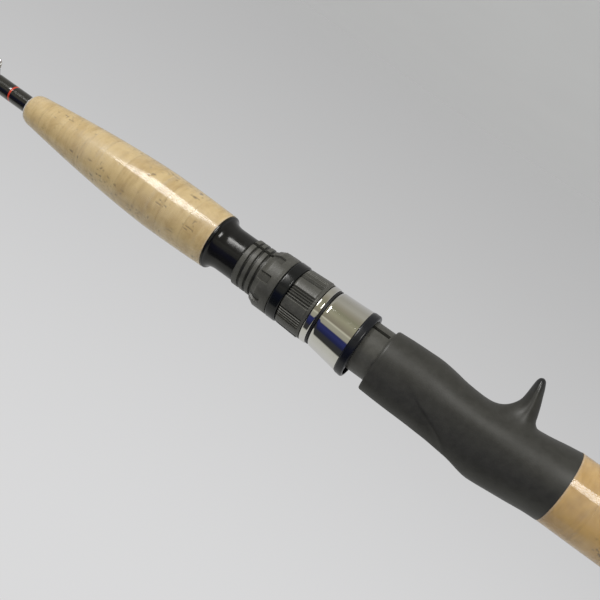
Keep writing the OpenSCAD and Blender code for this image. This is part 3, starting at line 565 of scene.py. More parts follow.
def make_thread_effect():
    """Wound thread: one rounded turn every Pitch along the rod, and a fibre twist across it. Its tone is
    darkest between turns and palest on their tops, a painted shade and highlight of each turn.
    """
    tree, given, out = effect("Wound thread", [
        ("Pitch", "Float", 0.0002)], [("Height", "Float"), ("Tone", "Float")])
    along = station(tree)
    turns = calc(tree, "FRACT", calc(tree, "DIVIDE", along, given["Pitch"]))
    round_top = calc(tree, "SINE", times(tree, turns, math.pi))
    tree.links.new(round_top, out.inputs["Height"])
    twist = noise(tree, place(tree, (1, 0.3, 0.3)), 2600.0, 2.0, 0.5)
    # painted shade and highlight of each turn: darkest between turns, palest on top, varied by the fibre
    # twist
    tree.links.new(times(tree, round_top, ramp(tree, twist, 0.3, 0.7, 0.6, 1.0)), out.inputs["Tone"])


FINISHES = {}


def finish(name, **constants):
    """New material with a Principled shader; constants go on the shader's own sockets."""
    material = bpy.data.materials.new(name)
    material.use_nodes = True
    tree = material.node_tree
    shader = tree.nodes["Principled BSDF"]
    for key, value in constants.items():
        shader.inputs[key.replace("_", " ")].default_value = value
    FINISHES[name] = material
    return tree, shader.inputs


def rgba(value, gain=1.0):
    """A colour property as four numbers."""
    return tuple(min(1.0, v * gain) for v in value) + (1.0,)


def resin(name, tone, rough, size, depth, wear=0.0, gloss_level=0.5):
    """Moulded resin or rubber: fine grain in tone, gloss and relief, and smudges. Marked corners and
    crests are paler, partly wear and partly a painted highlight; marked grooves, notches and
    keyways are darker with painted shade; and a handled "tip" is darker and glossier."""
    tree, shader = finish(name, IOR=1.5, Specular_IOR_Level=gloss_level)
    grain = use(tree, "Grain", Size=size, Roughness=rough, Spread=0.12)
    smudge = use(tree, "Smudges", Size=70.0)
    base = blend(tree, grain["Shade"], rgba(tone, 0.86), rgba(tone, 1.14))
    base = blend(tree, times(tree, smudge["Mask"], 0.25), base, rgba(tone, 1.35))
    # partly wear and partly a painted highlight: marked corners, crests and rib edges are paler
    edge = mark(tree, "wear")
    base = blend(tree, times(tree, edge, wear), base, rgba(tone, 2.4))
    # painted shade: marked grooves, keyways, notch floors and the body's shoulder line are darker
    deep = mark(tree, "deep")
    base = blend(tree, times(tree, deep, 0.85), base, rgba(tone, 0.2))
    handled = mark(tree, "tip")
    base = blend(tree, handled, base, (0.010, 0.011, 0.014, 1))
    tree.links.new(base, shader["Base Color"])
    gloss = minus(tree, grain["Gloss"], times(tree, smudge["Mask"], 0.05))
    gloss = minus(tree, gloss, times(tree, handled, 0.14))
    tree.links.new(gloss, shader["Roughness"])
    tree.links.new(bump(tree, grain["Height"], depth), shader["Normal"])


def gloss_black(name, tone, rough=0.08, coat=1.0):
    """Gloss black lacquer with faint smudges and a slight orange-peel relief."""
    tree, shader = finish(name, Coat_Weight=coat, Coat_Roughness=0.04, IOR=1.5)
    smudge = use(tree, "Smudges", Size=110.0)
    base = blend(tree, times(tree, smudge["Mask"], 0.35), rgba(tone), rgba(tone, 2.2))
    tree.links.new(base, shader["Base Color"])
    tree.links.new(plus(tree, times(tree, smudge["Mask"], 0.08), rough), shader["Roughness"])
    peel = noise(tree, place(tree), 420.0, 2.0)
    tree.links.new(bump(tree, peel, 0.00002), shader["Normal"])


def metal(name, tone, rough, marks=4000.0, relief=0.000004, tarnish=0.25):
    """Metal with turning marks, smudges and a few thin scratches."""
    tree, shader = finish(name, Metallic=1.0)
    turning = use(tree, "Turning marks", Count=marks)
    smudge = use(tree, "Smudges", Size=120.0)
    base = blend(tree, times(tree, smudge["Mask"], tarnish), rgba(tone), rgba(tone, 0.72))
    tree.links.new(base, shader["Base Color"])
    worn = plus(tree, times(tree, smudge["Mask"], 0.06), rough)
    worn = plus(tree, worn, times(tree, smudge["Scratch"], 0.12))
    tree.links.new(worn, shader["Roughness"])
    tree.links.new(bump(tree, turning["Height"], relief), shader["Normal"])


def wound(name, tone, pitch=0.00022, gain=1.2):
    """Thread under clear epoxy: turns of thread in relief, painted darker between turns and paler on top as
    shade and highlight, below a glossy coat.
    """
    tree, shader = finish(name, Coat_Weight=1.0, Coat_Roughness=0.03, IOR=1.52)
    thread = use(tree, "Wound thread", Pitch=pitch)
    smudge = use(tree, "Smudges", Size=130.0)
    # painted shade and highlight of each turn, from dark between turns to pale on top
    base = blend(tree, thread["Tone"], rgba(tone, 0.5), rgba(tone, gain))
    base = blend(tree, times(tree, smudge["Mask"], 0.06), base, rgba(tone, 2.0))
    tree.links.new(base, shader["Base Color"])
    tree.links.new(ramp(tree, thread["Height"], 0, 1, 0.32, 0.2), shader["Roughness"])
    tree.links.new(bump(tree, thread["Height"], 0.000003), shader["Normal"])


def cork(name, light, dark, hole, start, ring_length, coat_rough):
    """Turned cork under clear shrink film, which gives it its gloss."""
    tree, shader = finish(name, Coat_Weight=1.0, Coat_Roughness=coat_rough, Coat_IOR=1.5)
    look = use(tree, "Cork", Light=rgba(light), Dark=rgba(dark), Hole=rgba(hole), Start=start,
               Ring=ring_length)
    tree.links.new(look["Color"], shader["Base Color"])
    tree.links.new(look["Rough"], shader["Roughness"])
    tree.links.new(bump(tree, look["Height"], 0.00007), shader["Normal"])


def clear_film(name, start, end, rim_milk_and_highlight):
    """Clear shrink film: almost unseen, with faint whitish creases round the grip and a whiter front rim; the
    whitening is partly milky film and partly a painted highlight.
    """
    tree, shader = finish(name, Base_Color=(0.92, 0.93, 0.95, 1), IOR=1.5)
    along = station(tree)
    crease = ramp(tree, noise(tree, place(tree, (1, 0.12, 0.12)), 420.0, 3.0, 0.6, 0.5), 0.55, 0.75)
    cloud = ramp(tree, noise(tree, place(tree, (0.5, 1, 1)), 80.0, 3.0, 0.5), 0.4, 0.7)
    # whiter at the ends: a milky film edge and a painted highlight of the rim
    ends = calc(tree, "MAXIMUM", ramp(tree, along, start + 0.0006, start, 0.0, 0.25),
                ramp(tree, along, end - 0.0010, end, 0.0, rim_milk_and_highlight))
    # whitish at creases and in clouds: milky film, and at the creases a painted highlight of the wrinkles
    haze_and_highlight = plus(tree, times(tree, crease, 0.035), times(tree, cloud, 0.03))
    haze_and_highlight = plus(tree, haze_and_highlight, times(tree, ends, 0.40))
    tree.links.new(plus(tree, haze_and_highlight, 0.015), shader["Alpha"])
    tree.links.new(ramp(tree, crease, 0, 1, 0.08, 0.2), shader["Roughness"])
    tree.links.new(bump(tree, crease, 0.00003), shader["Normal"])


def make_finishes(colours):
    """Builds the shared effects once, then every material of the rod."""
    for make in (make_grain_effect, make_turned_effect, make_smudge_effect, make_cork_effect,
                 make_thread_effect):
        make()
    fore_ring = (FORE_X[1] - FORE_X[0]) / FORE_RINGS * MM
    rear_ring = (REAR_X[1] - REAR_X[0]) / REAR_RINGS * MM
    hole = colours.cork_pit
    cork("fore cork", colours.cork_light, colours.cork_dark, hole, FORE_X[0] * MM, fore_ring, 0.15)
    cork("rear cork", colours.rear_light, colours.rear_dark, hole, REAR_X[0] * MM, rear_ring, 0.09)
    clear_film("fore film", FORE_X[0] * MM, (FORE_X[1] - 1) * MM, 1.0)
    clear_film("rear film", REAR_X[0] * MM, REAR_X[1] * MM, 0.2)
    resin("seat resin", colours.seat, 0.47, 2600.0, 0.00003, gloss_level=0.6)
    resin("tube resin", colours.nut, 0.42, 3200.0, 0.00002, wear=0.25)
    resin("nut resin", colours.nut, 0.38, 3200.0, 0.00002, wear=0.35)
    resin("liner resin", colours.bumper, 0.55, 2500.0, 0.00003)
    resin("cap rubber", (0.018, 0.018, 0.02), 0.62, 1900.0, 0.00006, wear=0.2)
    resin("bumper rubber", colours.bumper, 0.30, 2400.0, 0.00001, wear=0.1)
    resin("groove rubber", (0.008, 0.008, 0.010), 0.42, 2400.0, 0.00002)
    resin("spigot graphite", (0.03, 0.03, 0.033), 0.5, 2600.0, 0.00002)
    resin("arbor foam", (0.30, 0.25, 0.17), 0.8, 1400.0, 0.00008)
    gloss_black("sleeve black", colours.black, 0.16, coat=0.0)
    gloss_black("thrust black", (0.004, 0.005, 0.007), 0.18, coat=0.0)
    gloss_black("blank black", (0.012, 0.012, 0.014), 0.10)
    gloss_black("ring ceramic", (0.05, 0.05, 0.056), 0.10, coat=0.6)
    wound("wrap black", colours.black)
    wound("wrap red", colours.band, gain=1.3)
    metal("hood chrome", (0.86, 0.85, 0.83), 0.04, marks=2600.0, relief=0.0000006, tarnish=0.10)
    metal("keeper wire", (0.70, 0.70, 0.71), 0.12)
    metal("guide steel", (0.16, 0.16, 0.175), 0.20)
    metal("trim metal", (0.22, 0.22, 0.235), 0.26, marks=9000.0, relief=0.00001)


# ---------- shapes of the grips and the body, in millimetres ----------

def blank_radius(x):
    """Radius of the straight taper from the butt to the tip."""
    sizes = bpy.context.scene.rod_sizes
    share = np.asarray(x) / ROD_LENGTH
    return (sizes.blank_butt + (sizes.blank_tip - sizes.blank_butt) * share) / 2 / MM


def clear_radius(x):
    """Radius that clears the blank at one station."""
    return float(blank_radius(x)) + GAP


def fore_radius(u):
    """Foregrip, u from its rear: a parabola up to the belly, a 1.5-power fall to the nose, and a
    quarter ellipse round the nose."""
    whole, belly_at, nose_l = FORE_X[1] - FORE_X[0], 31.0, 5.0
    belly, rear, nose, face = 13.2, 12.55, 7.5, 4.5
    s = np.clip((u - belly_at) / (whole - nose_l - belly_at), 0, 1)
    back = np.clip(1 - u / belly_at, 0, None)
    side = belly - (belly - rear) * back ** 2 - (belly - nose) * s ** 1.5
    t = np.clip((u - whole + nose_l) / nose_l, 0, 1)
    return face + (side - face) * np.sqrt(np.clip(1 - t * t, 0, None))


def rear_radius(u):
    """Rear grip, u from its rear: a sine-squared waist."""
    return 15.35 - 1.6 * np.sin(math.pi * np.minimum(1, u / ((REAR_X[1] - REAR_X[0]) * 0.62))) ** 2


def cork_skin(start, end, radius, rings, columns, step, seed, inner, clear=6):
    """Turned cork: the grip's outline with a shallow dip at every glue line, less the pits.

    A pit is where fine noise peaks inside clusters of coarse noise; some are drawn out along the
    rod. The same depth is kept as the mark "pit". The last clear millimetres have few pits."""
    rows = int((end - start) / step)
    u = np.linspace(0, end - start, rows)
    r = radius(u)
    ring_l = (end - start) / rings
    seam = np.abs(((u / ring_l) + 0.5) % 1 - 0.5) * ring_l
    r = r - 0.02 * (1 - smooth_step(0, 0.4, seam)) * ((u > 1) & (u < end - start - 1))
    grid = turned(np.column_stack([start + u, r]), angles(columns))
    fine = value_noise(grid / 0.9, seed)
    drawn = value_noise(grid / np.array([3.2, 0.7, 0.7]), seed + 1)
    patch = value_noise(grid / 7.0, seed + 2)
    pits = smooth_step(0.74, 0.86, fine) * smooth_step(0.45, 0.75, patch)
    long_pits = smooth_step(0.80, 0.88, drawn) * smooth_step(0.50, 0.70, patch)
    single = smooth_step(0.955, 0.985, value_noise(grid / 1.3, seed + 3))
    pit = np.clip(pits + long_pits + single, 0, 1)
    pit *= smooth_step(end - start - 3, end - start - clear, u)[:, None]
    pit[:3] = 0
    depth = bpy.context.scene.rod_sizes.pit_depth / MM * pit
    a = angles(columns)[None, :]
    grid[..., 1] -= depth * np.cos(a)
    grid[..., 2] -= depth * np.sin(a)
    hole = turned(np.array([[end, inner(end)], [start, inner(start)]]), angles(columns))
    return skin(np.concatenate([grid, hole]), pit=np.concatenate([pit, np.zeros((2, columns))]))


def film_skin(start, end, radius, origin):
    """Thin shell that follows a grip: the grip's outline moved out twice, joined at both ends."""
    u = np.linspace(start, end, 160) - origin
    x = u + origin
    outer = np.column_stack([x, radius(u) + GAP + FILM])
    inner = np.column_stack([x, radius(u) + GAP])[::-1]
    return skin(turned(np.concatenate([outer, inner]), angles(144)))


# Body: share of its length from the rear, half width, height, depth, and squareness of the top
BODY_STATIONS = np.array([
    [0.00, 15.3, 15.4, 15.2, 2.0], [0.07, 15.1, 15.8, 14.4, 2.0], [0.15, 14.4, 16.6, 13.3, 2.1],
    [0.23, 13.6, 17.3, 12.6, 2.2], [0.32, 13.0, 18.1, 12.1, 2.3], [0.38, 12.8, 18.4, 11.8, 2.4],
    [0.45, 12.7, 18.2, 11.4, 2.5], [0.52, 12.7, 17.4, 11.4, 2.6], [0.60, 12.9, 16.4, 11.9, 2.7],
    [0.67, 13.2, 15.9, 12.8, 2.8], [0.75, 13.4, 15.6, 13.5, 2.8], [0.84, 13.4, 15.4, 13.4, 2.8],
    [0.92, 13.2, 15.2, 13.2, 2.8], [1.00, 12.9, 15.0, 12.8, 2.8]])

# Trigger: height above the body, how far it reaches ahead, behind and to each side, and its
# shift towards the tip, from the edge of its root to its end
TRIGGER_STATIONS = np.array([
    [0.00, 0.0, 14.5, 9.5, 10.0, 0.0], [0.10, 0.20, 11.4, 7.9, 8.6, 0.0], [0.20, 0.9, 8.8, 6.7, 7.3, -0.1],
    [0.30, 2.1, 6.9, 5.6, 6.2, -0.3], [0.40, 4.0, 5.4, 4.7, 5.3, -0.6], [0.50, 6.4, 4.1, 3.9, 4.7, -0.6],
    [0.60, 8.9, 3.4, 3.3, 4.2, -0.3], [0.70, 11.4, 2.8, 2.8, 3.8, 0.2], [0.80, 13.7, 2.35, 2.35, 3.3, 0.6],
    [0.90, 15.9, 1.75, 1.75, 2.4, 1.0], [0.96, 17.1, 1.1, 1.1, 1.5, 1.1], [1.00, 17.7, 0.0, 0.0, 0.0, 1.1]])


def body_grid(sizes):
    """Outer skin of the trigger body with the trigger drawn out of it, its tip mark, and painted shade on the
    hood's shoulder.

    Each section is a superellipse whose half width, height, depth and squareness follow smooth
    curves along the body. Inside an ellipse on the underside every point is carried up the
    trigger: its distance from the ellipse's middle says how high, its direction stays."""
    start, whole = BODY_X[0], BODY_X[1] - BODY_X[0]
    place_on = np.linspace(0, 1, len(BODY_STATIONS))
    fine = through(place_on, BODY_STATIONS, np.linspace(0, 1, 1200))
    reach = sizes.trigger_reach / MM
    mid = sizes.trigger_place / MM / whole
    before = np.linspace(0, mid - 0.125, 26)[:-1]
    near = np.linspace(mid - 0.125, mid + 0.19, 112)
    after = np.linspace(mid + 0.19, 1, 70)[1:]
    share = np.concatenate([before, near, after])
    wide, up, down, square = (np.interp(share, fine[:, 0], fine[:, k])[:, None] for k in (1, 2, 3, 4))
    tight = np.linspace(-142, -38, 96)
    loose = np.linspace(-38, 218, 98)[1:-1]
    a = np.radians(np.concatenate([tight, loose]))[None, :]
    c, s = np.cos(a), np.sin(a)
    height = np.where(s >= 0, up, down)
    power = np.where(s >= 0, square, 2.1)
    r = (np.abs(c / wide) ** power + np.abs(s / height) ** power) ** (-1 / power)
    x = np.broadcast_to(start + whole * share[:, None], r.shape)
    # the shoulder of the fixed hood: the wall ahead of a curved line on each side lies lower
    side = smooth_step(-0.05, 0.45, s) * smooth_step(1.0, 0.80, s)
    line = start + 64.0 - 24.5 * smooth_step(0.0, 1.0, s)
    lower = smooth_step(line - 1.5, line + 4.0, x) * smooth_step(start + whole - 4, start + whole - 26, x)
    r = r - 0.35 * side * lower
    # painted shade: a dark line along the edge of the shoulder, kept as the deep mark
    crease = 0.55 * side * np.exp(-((x - line) / 1.1) ** 2)
    # the moulded lip at the front
    r = r - 0.35 * smooth_step(start + whole - 0.5, start + whole, x)
    y, z = r * c, r * s
    # the roof of the fixed hood falls to the height of the channel's walls at its mouth
    cap = 15.4 + 3.2 * smooth_step(start + 41.5, start + 26.0, x)
    z = np.where(z > 0, cap - 0.3 * np.logaddexp(0, (cap - z) / 0.3), z)
    middle = start + whole * mid
    dx = x - middle
    table = TRIGGER_STATIONS
    ahead, behind, aside = table[0, 2:5]
    e = np.hypot(dx / np.where(dx > 0, ahead, behind), y / aside)
    under = (e < 1) & (z < 0)
    t = 1 - np.clip(e, 0, 1)
    row = through(table[:, 0], table[:, 1:], t)
    row[..., 0] *= (reach - 12.1) / 17.7
    safe = np.maximum(e, 1e-9)
    cos_d, sin_d = dx / np.where(dx > 0, ahead, behind) / safe, y / aside / safe
    ridge = 1 - 0.10 * smooth_step(0.15, 0.5, t) * (1 - sin_d ** 2) * sin_d ** 2 * 4
    new_x = middle + row[..., 4] + np.where(dx > 0, row[..., 1], row[..., 2]) * cos_d * ridge
    new_y = row[..., 3] * sin_d * ridge
    depth_at = np.interp(new_x, start + whole * fine[:, 0], fine[:, 3])
    wide_at = np.interp(new_x, start + whole * fine[:, 0], fine[:, 1])
    depth = depth_at * (1 - np.clip(np.abs(new_y / wide_at), 0, 1) ** 2.1) ** (1 / 2.1)
    x = np.where(under, new_x, x)
    y = np.where(under, new_y, y)
    z = np.where(under, -depth - row[..., 0], z)
    worn = np.where(under, smooth_step(0.62, 0.92, t), 0.0)
    grid = np.stack([x, y, z], -1)
    crease = np.where(under, 0.0, crease)
    first = np.array([[[start, 0, 0]]]) + np.zeros((1, a.shape[1], 1))
    last = np.array([[[start + whole, 0, 0]]]) + np.zeros((1, a.shape[1], 1))
    zero = np.zeros((1, a.shape[1]))
    return skin(np.concatenate([first, grid, last]), loop_rows=False,
                tip=np.concatenate([zero, worn, zero]), deep=np.concatenate([zero, crease, zero]))


def threaded_tube(sizes):
    """Reel seat tube: a bare part, then a screw thread cut by two keyways.

    The radius falls into a rounded groove once every pitch along the rod, shifted by one pitch
    for each turn round it. In a keyway the radius is never above the keyway's bottom."""
    pitch = sizes.thread_pitch / MM
    deep = sizes.thread_groove / MM
    crest, root = TUBE_R - 0.5, TUBE_R - 0.5 - deep
    key_r = root - 0.95
    half = sizes.keyway_width / MM / 2 / crest
    keys = np.radians([-90 - 34, -90 + 34])
    base = np.linspace(0, TURN, 120, endpoint=False)
    edges = (keys[:, None] + np.array([-1.06, -0.98, -0.5, 0, 0.5, 0.98, 1.06])[None] * half).ravel() % TURN
    apart = np.min(np.abs((base[:, None] - edges[None] + math.pi) % TURN - math.pi), axis=1) > 0.012
    a = np.sort(np.concatenate([base[apart], edges]))
    key = np.min(np.abs((a[:, None] - keys[None] + math.pi) % TURN - math.pi), axis=1) < half
    step_x = BODY_X[1] - 6
    thread_x = TUBE_X[1] - 50
    bare = np.array([[TUBE_X[0], TUBE_R - 1.65], [step_x, TUBE_R - 1.65], [step_x, TUBE_R],
                     [BODY_X[1] + 0.9, TUBE_R], [BODY_X[1] + 1.1, TUBE_R],
                     [thread_x - 0.3, TUBE_R], [thread_x, TUBE_R - 0.3]])
    x = np.arange(thread_x + 0.2, TUBE_X[1] - 0.3, pitch / 24)
    turn = ((x[:, None] - thread_x + 1.0) / pitch - a[None] / TURN) % 1
    groove = smooth_step(0.23, 0.12, np.abs(turn - 0.5))
    fade = smooth_step(TUBE_X[1] - 1.9, TUBE_X[1] - 2.6, x)[:, None]
    r = crest - (crest - root) * groove * fade
    x_rows = np.concatenate([bare[:, 0], x, [TUBE_X[1] - 0.3, TUBE_X[1], TUBE_X[1], TUBE_X[0]]])
    flat = np.broadcast_to(bare[:, 1:], (len(bare), len(a)))
    ends = np.broadcast_to(np.array([crest, crest - 0.3, TUBE_R - 3.25, TUBE_R - 3.25])[:, None], (4, len(a)))
    r_rows = np.concatenate([flat, r, ends])
    open_key = ((x_rows > BODY_X[1] + 1)[:, None] & key[None]) & (r_rows > key_r)
    r_rows = np.where(open_key, key_r, r_rows)
    grid = round_grid(x_rows, r_rows, a)
    # lands paler, a painted highlight with wear at their edges; grooves and, at 0.6, the open keyways darker
    # with painted shade
    wear = np.zeros(r_rows.shape)
    wear[len(bare):len(bare) + len(x)] = (1 - groove) * groove * 4 * 0.5 + (1 - groove) * 0.25
    deep = np.zeros(r_rows.shape)
    deep[len(bare):len(bare) + len(x)] = groove * fade
    return skin(grid, wear=wear * ~open_key, deep=np.maximum(deep, 0.6 * open_key))


def ribbed_nut():
    """Clamp nut: a cone with eight groups of five round-bottomed grooves between smooth lands.

    Round the nut the radius dips with a raised cosine five times in each group's share; the
    grooves fade out at both ends. A collar and a neck join it to the hood."""
    groups, ribs, share = 8, 5, 0.56
    count = groups * (ribs * 14 + 14)
    a = angles(count)
    in_group = (a / TURN * groups) % 1
    dip = np.where(in_group < share, 0.5 - 0.5 * np.cos(TURN * in_group / share * ribs), 0) ** 0.8
    x0, x1 = CLAMP_X
    rear, front = TUBE_R + 2.15, TUBE_R + 1.65
    outline = np.array([
        [0.0, rear - 0.35], [1.0, rear - 0.35], [1.15, rear - 0.25], [1.3, rear - 0.08], [1.5, rear]])
    whole = x1 - x0
    flank = np.linspace(1.8, whole - 1.0, 14)
    along = np.concatenate([outline[:, 0], flank, [whole - 0.7, whole - 0.4, whole - 0.12, whole]])
    r = np.concatenate([outline[:, 1], np.interp(flank, [0.5, whole - 0.7], [rear, front]),
                        [front - 0.05, front - 0.22, front - 0.48, front - 0.75]])
    cutting = smooth_step(1.0, 1.5, along)[:, None]
    grid_r = r[:, None] - 0.72 * dip[None] * cutting
    bore = TUBE_R - 0.3
    collar, neck = RETAIN_X[0] - 1.5 - x0, RETAIN_X[0] - 0.2 - x0
    tail = np.array([[whole, bore], [collar, bore], [collar, bore + 1.05], [neck, bore + 1.05],
                     [neck, bore + 0.65], [0.0, bore + 0.65]])
    x_rows = np.concatenate([along, tail[:, 0]]) + x0
    r_rows = np.concatenate([grid_r, np.broadcast_to(tail[:, 1:], (len(tail), count))])
    grid = round_grid(x_rows, r_rows, a)
    none = np.zeros((len(tail), count))
    # rib edges paler, as wear and a painted highlight; groove bottoms darker with painted shade
    wear = np.concatenate([(1 - dip)[None] * dip[None] * 4 * cutting, none])
    return skin(grid, wear=wear, deep=np.concatenate([dip[None] ** 2 * cutting, none]))


def notched_nut():
    """Lock nut: a ring with eight shallow round-ended notches from its chamfered front edge.

    A notch is where the angle lies inside its half width and the station lies ahead of its end,
    both with soft walls; its floor lies 0.95 below the surface, but never inside the tube."""
    notches = 8
    x0, x1 = LOCK_X
    whole = x1 - x0
    outer = TUBE_R + 1.8
    half = math.radians(8.0)
    wall = 0.010
    sector = math.pi / notches
    side = np.concatenate([np.linspace(0, half - 3 * wall, 9), half + wall * np.linspace(-2, 2, 9),
                           np.linspace(half + 3 * wall, sector, 9)[:-1]])
    one = np.concatenate([-side[::-1], side[1:]])
    a = (np.arange(notches)[:, None] * 2 * sector + one[None]).ravel() + math.radians(4)
    off = np.broadcast_to(np.abs(one), (notches, len(one))).ravel()
    front = np.array([[0.0, outer - 0.3], [0.08, outer - 0.12], [0.3, outer], [1.6, outer]])
    notch_x = whole * 0.4
    mid_x = np.sort(np.concatenate([np.linspace(1.9, whole - 2.4, 16), notch_x + np.linspace(-0.2, 0.4, 6)]))
    cham_x = np.linspace(whole - 2.3, whole - 0.1, 9)
    along = np.concatenate([front[:, 0], mid_x, cham_x, [whole]])
    cham = outer - 1.2 * smooth_step(whole - 3.0, whole + 0.6, cham_x) * 1.05
    r = np.concatenate([front[:, 1], np.full(22, outer), cham, [outer - 1.35]])
    inside = (smooth_step(half + wall, half - wall, off)[None]
              * smooth_step(notch_x - 0.1, notch_x + 0.3, along)[:, None])
    floor_r = np.maximum(np.minimum(r - 0.95, outer - 0.95), TUBE_R - 0.1)[:, None]
    r_rows = r[:, None] * (1 - inside) + floor_r * inside
    bore, neck = TUBE_R - 0.3, TUBE_R + 1.0
    tail = np.array([[whole, bore], [2.2, bore], [2.2, neck], [0.0, neck]])
    x_rows = np.concatenate([along, tail[:, 0]]) + x0
    r_all = np.concatenate([r_rows, np.broadcast_to(tail[:, 1:], (len(tail), len(a)))])
    grid = round_grid(x_rows, r_all, a)
    # paler notch walls and a pale band where the chamfer starts: wear and a painted highlight
    edge = inside * (1 - inside) * 4
    edge = np.maximum(edge, (1 - inside) * np.exp(-((along - whole + 2.3) / 0.5) ** 2)[:, None] * 0.6)
    none = np.zeros((len(tail), len(a)))
    # painted shade: the notch floors are darker, most near their walls
    foot = 4 * inside ** 3 * (1 - inside) + 0.25 * inside
    return skin(grid, wear=np.concatenate([edge, none]), deep=np.concatenate([foot, none]))


# ---------- operators ----------

class RodMaker:
    """What the operators of the pieces share: their options, and the sizes they are made with."""
    bl_options = {"REGISTER", "UNDO"}

    def execute(self, context):
        self.make(context.scene.rod_sizes)
        return {"FINISHED"}


class ROD_OT_finishes(bpy.types.Operator):
    """Build the shader groups and every material"""
    bl_idname = "rod.finishes"
    bl_label = "Finishes"

    def execute(self, context):
        make_finishes(context.scene.rod_colours)
        return {"FINISHED"}


class ROD_OT_blanks(RodMaker, bpy.types.Operator):
    """Make the two hollow sections of the blank"""
    bl_idname = "rod.blanks"
    bl_label = "Blanks"

    def make(self, sizes):
        for name, node, body, (start, end), walls in (
            ("blank_butt_section", "butt_blank", "butt_section", BUTT_BLANK_X, (0.9, 0.9)),
            ("blank_tip_section", "tip_blank", "tip_section", TIP_X, (0.9, 0.45)),
        ):
            x = np.linspace(start, end, 60)
            wall = np.interp(x, [start, start + 80, end], [walls[0], walls[1], walls[1]])
            outer = np.column_stack([x, blank_radius(x)])
            inner = np.column_stack([x, blank_radius(x) - wall])[::-1]
            grid = turned(np.concatenate([outer, inner]), angles(48))
            piece(name, [skin(grid)], "blank black", body, "blank", node)


class ROD_OT_butt_cap(RodMaker, bpy.types.Operator):
    """Make the rubber butt cap with its grip rings, and the trim ring"""
    bl_idname = "rod.butt_cap"
    bl_label = "Butt cap"

    def make(self, sizes):
        r, end = half_width("butt_cap"), CAP_X[1]
        a = np.radians(np.linspace(0, 90, 12))
        face = [[0.7, 0], [0.7, 9.0], [0.0, 9.6]]
        dome = np.column_stack([5 * (1 - np.cos(a)), r - 5 * (1 - np.sin(a))])
        grooves = [[x + d, r - h] for x in np.arange(11, 24, 2.6)
                   for d, h in ((-0.5, 0), (-0.3, 0.42), (0.3, 0.42), (0.5, 0))]
        bore = clear_radius(4)
        tail = [[end - 0.6, r], [end, r - 0.4], [end, bore], [4, bore], [4, 0]]
        outline = np.concatenate([face, dome, grooves, tail])
        piece("butt_cap_moulded", [ring(outline, 0.25)], "cap rubber", "butt_section", "butt_cap",
              "butt_cap", sharp=50)
        r = half_width("rear_trim_ring")
        x0, x1 = TRIM_X
        bore = clear_radius(x0)
        outline = [[x0, bore], [x0, r], [x0 + 1.1, r], [x0 + 1.3, r - 0.25], [x1 - 1.3, r - 0.25],
                   [x1 - 1.1, r], [x1, r], [x1, bore]]
        piece("trim_ring_turned", [ring(outline, 0.2)], "trim metal", "butt_section", "trim_metal",
              "rear_trim_ring")


class ROD_OT_rear_grip(RodMaker, bpy.types.Operator):
    """Make the rear grip's cork and its clear film"""
    bl_idname = "rod.rear_grip"
    bl_label = "Rear grip"

    def make(self, sizes):
        start, end = REAR_X
        body = cork_skin(start, end, rear_radius, 16, 190, 0.5, 11, clear_radius)
        piece("rear_grip_cork_turned", [body], "rear cork", "butt_section", "rear_cork", "rear_grip_cork")
        piece("rear_grip_film_shell", [film_skin(start, end, rear_radius, start)], "rear film",
              "butt_section", "clear_film", "rear_grip_film")


class ROD_OT_foregrip(RodMaker, bpy.types.Operator):
    """Make the foregrip's cork, its clear film and the trim sleeve behind it"""
    bl_idname = "rod.foregrip"
    bl_label = "Foregrip"

    def make(self, sizes):
        start, end = FORE_X
        body = cork_skin(start, end, fore_radius, 9, 200, 0.42, 29, clear_radius,
                         clear=26)
        piece("foregrip_cork_turned", [body], "fore cork", "butt_section", "fore_cork", "foregrip_cork")
        piece("foregrip_film_shell", [film_skin(start, end - 1, fore_radius, start)], "fore film",
              "butt_section", "clear_film", "foregrip_film")
        x0, x1 = SLEEVE_X
        tube_r, flare = 10.0, 12.45
        t = np.linspace(0, 1, 16)
        out = 1 - np.sqrt(1 - (0.985 * t) ** 2)
        neck = np.column_stack([x1 - 6.4 + 5.2 * t, tube_r + (flare - tube_r) * out])
        rows = np.concatenate([
            [[x0, 8.0], [x0, tube_r - 0.35], [x0 + 0.12, tube_r - 0.12], [x0 + 0.4, tube_r]],
            np.column_stack([np.linspace(x0 + 1, x1 - 6.6, 8), np.full(8, tube_r)]), neck,
            [[x1 - 1.15, flare - 0.15], [x1 - 0.9, flare], [x1 - 0.2, flare], [x1, flare - 0.1], [x1, 8.0]]])
        piece("trim_sleeve_turned", [skin(turned(rows, angles(144)))], "sleeve black", "butt_section",
              "trim_sleeve", "foregrip_trim_sleeve", sharp=60)


class ROD_OT_reel_seat(RodMaker, bpy.types.Operator):
    """Make the trigger body with its channel, and the threaded tube through it"""
    bl_idname = "rod.reel_seat"
    bl_label = "Reel seat"

    def make(self, sizes):
        body = piece("trigger_body_moulded", [body_grid(sizes)], "seat resin", "butt_section",
                     "seat_body", "trigger_body", sharp=50)
        start, end = BODY_X
        core, front = TUBE_R - 1.6, TUBE_R + 0.05
        step = end - 6.05
        bore = turned([[start - 1, 0], [start - 1, core], [step, core], [step, front],
                       [end + 1, front], [end + 1, 0]], angles(96))
        mouth, floor_z = start + 41.9, TUBE_R + 0.35
        cut(body, skin(bore, loop_rows=False))
        cut(body, block((mouth, end + 1), (-7.5, 7.5), (floor_z, 30)))
        cut(body, block((mouth - 15, mouth + 0.01), (-7.5, 7.5), (floor_z - 0.1, floor_z + 3.2)))
        piece("seat_tube_threaded", [threaded_tube(sizes)], "tube resin", "butt_section", "seat_tube",
              "seat_tube", sharp=42)


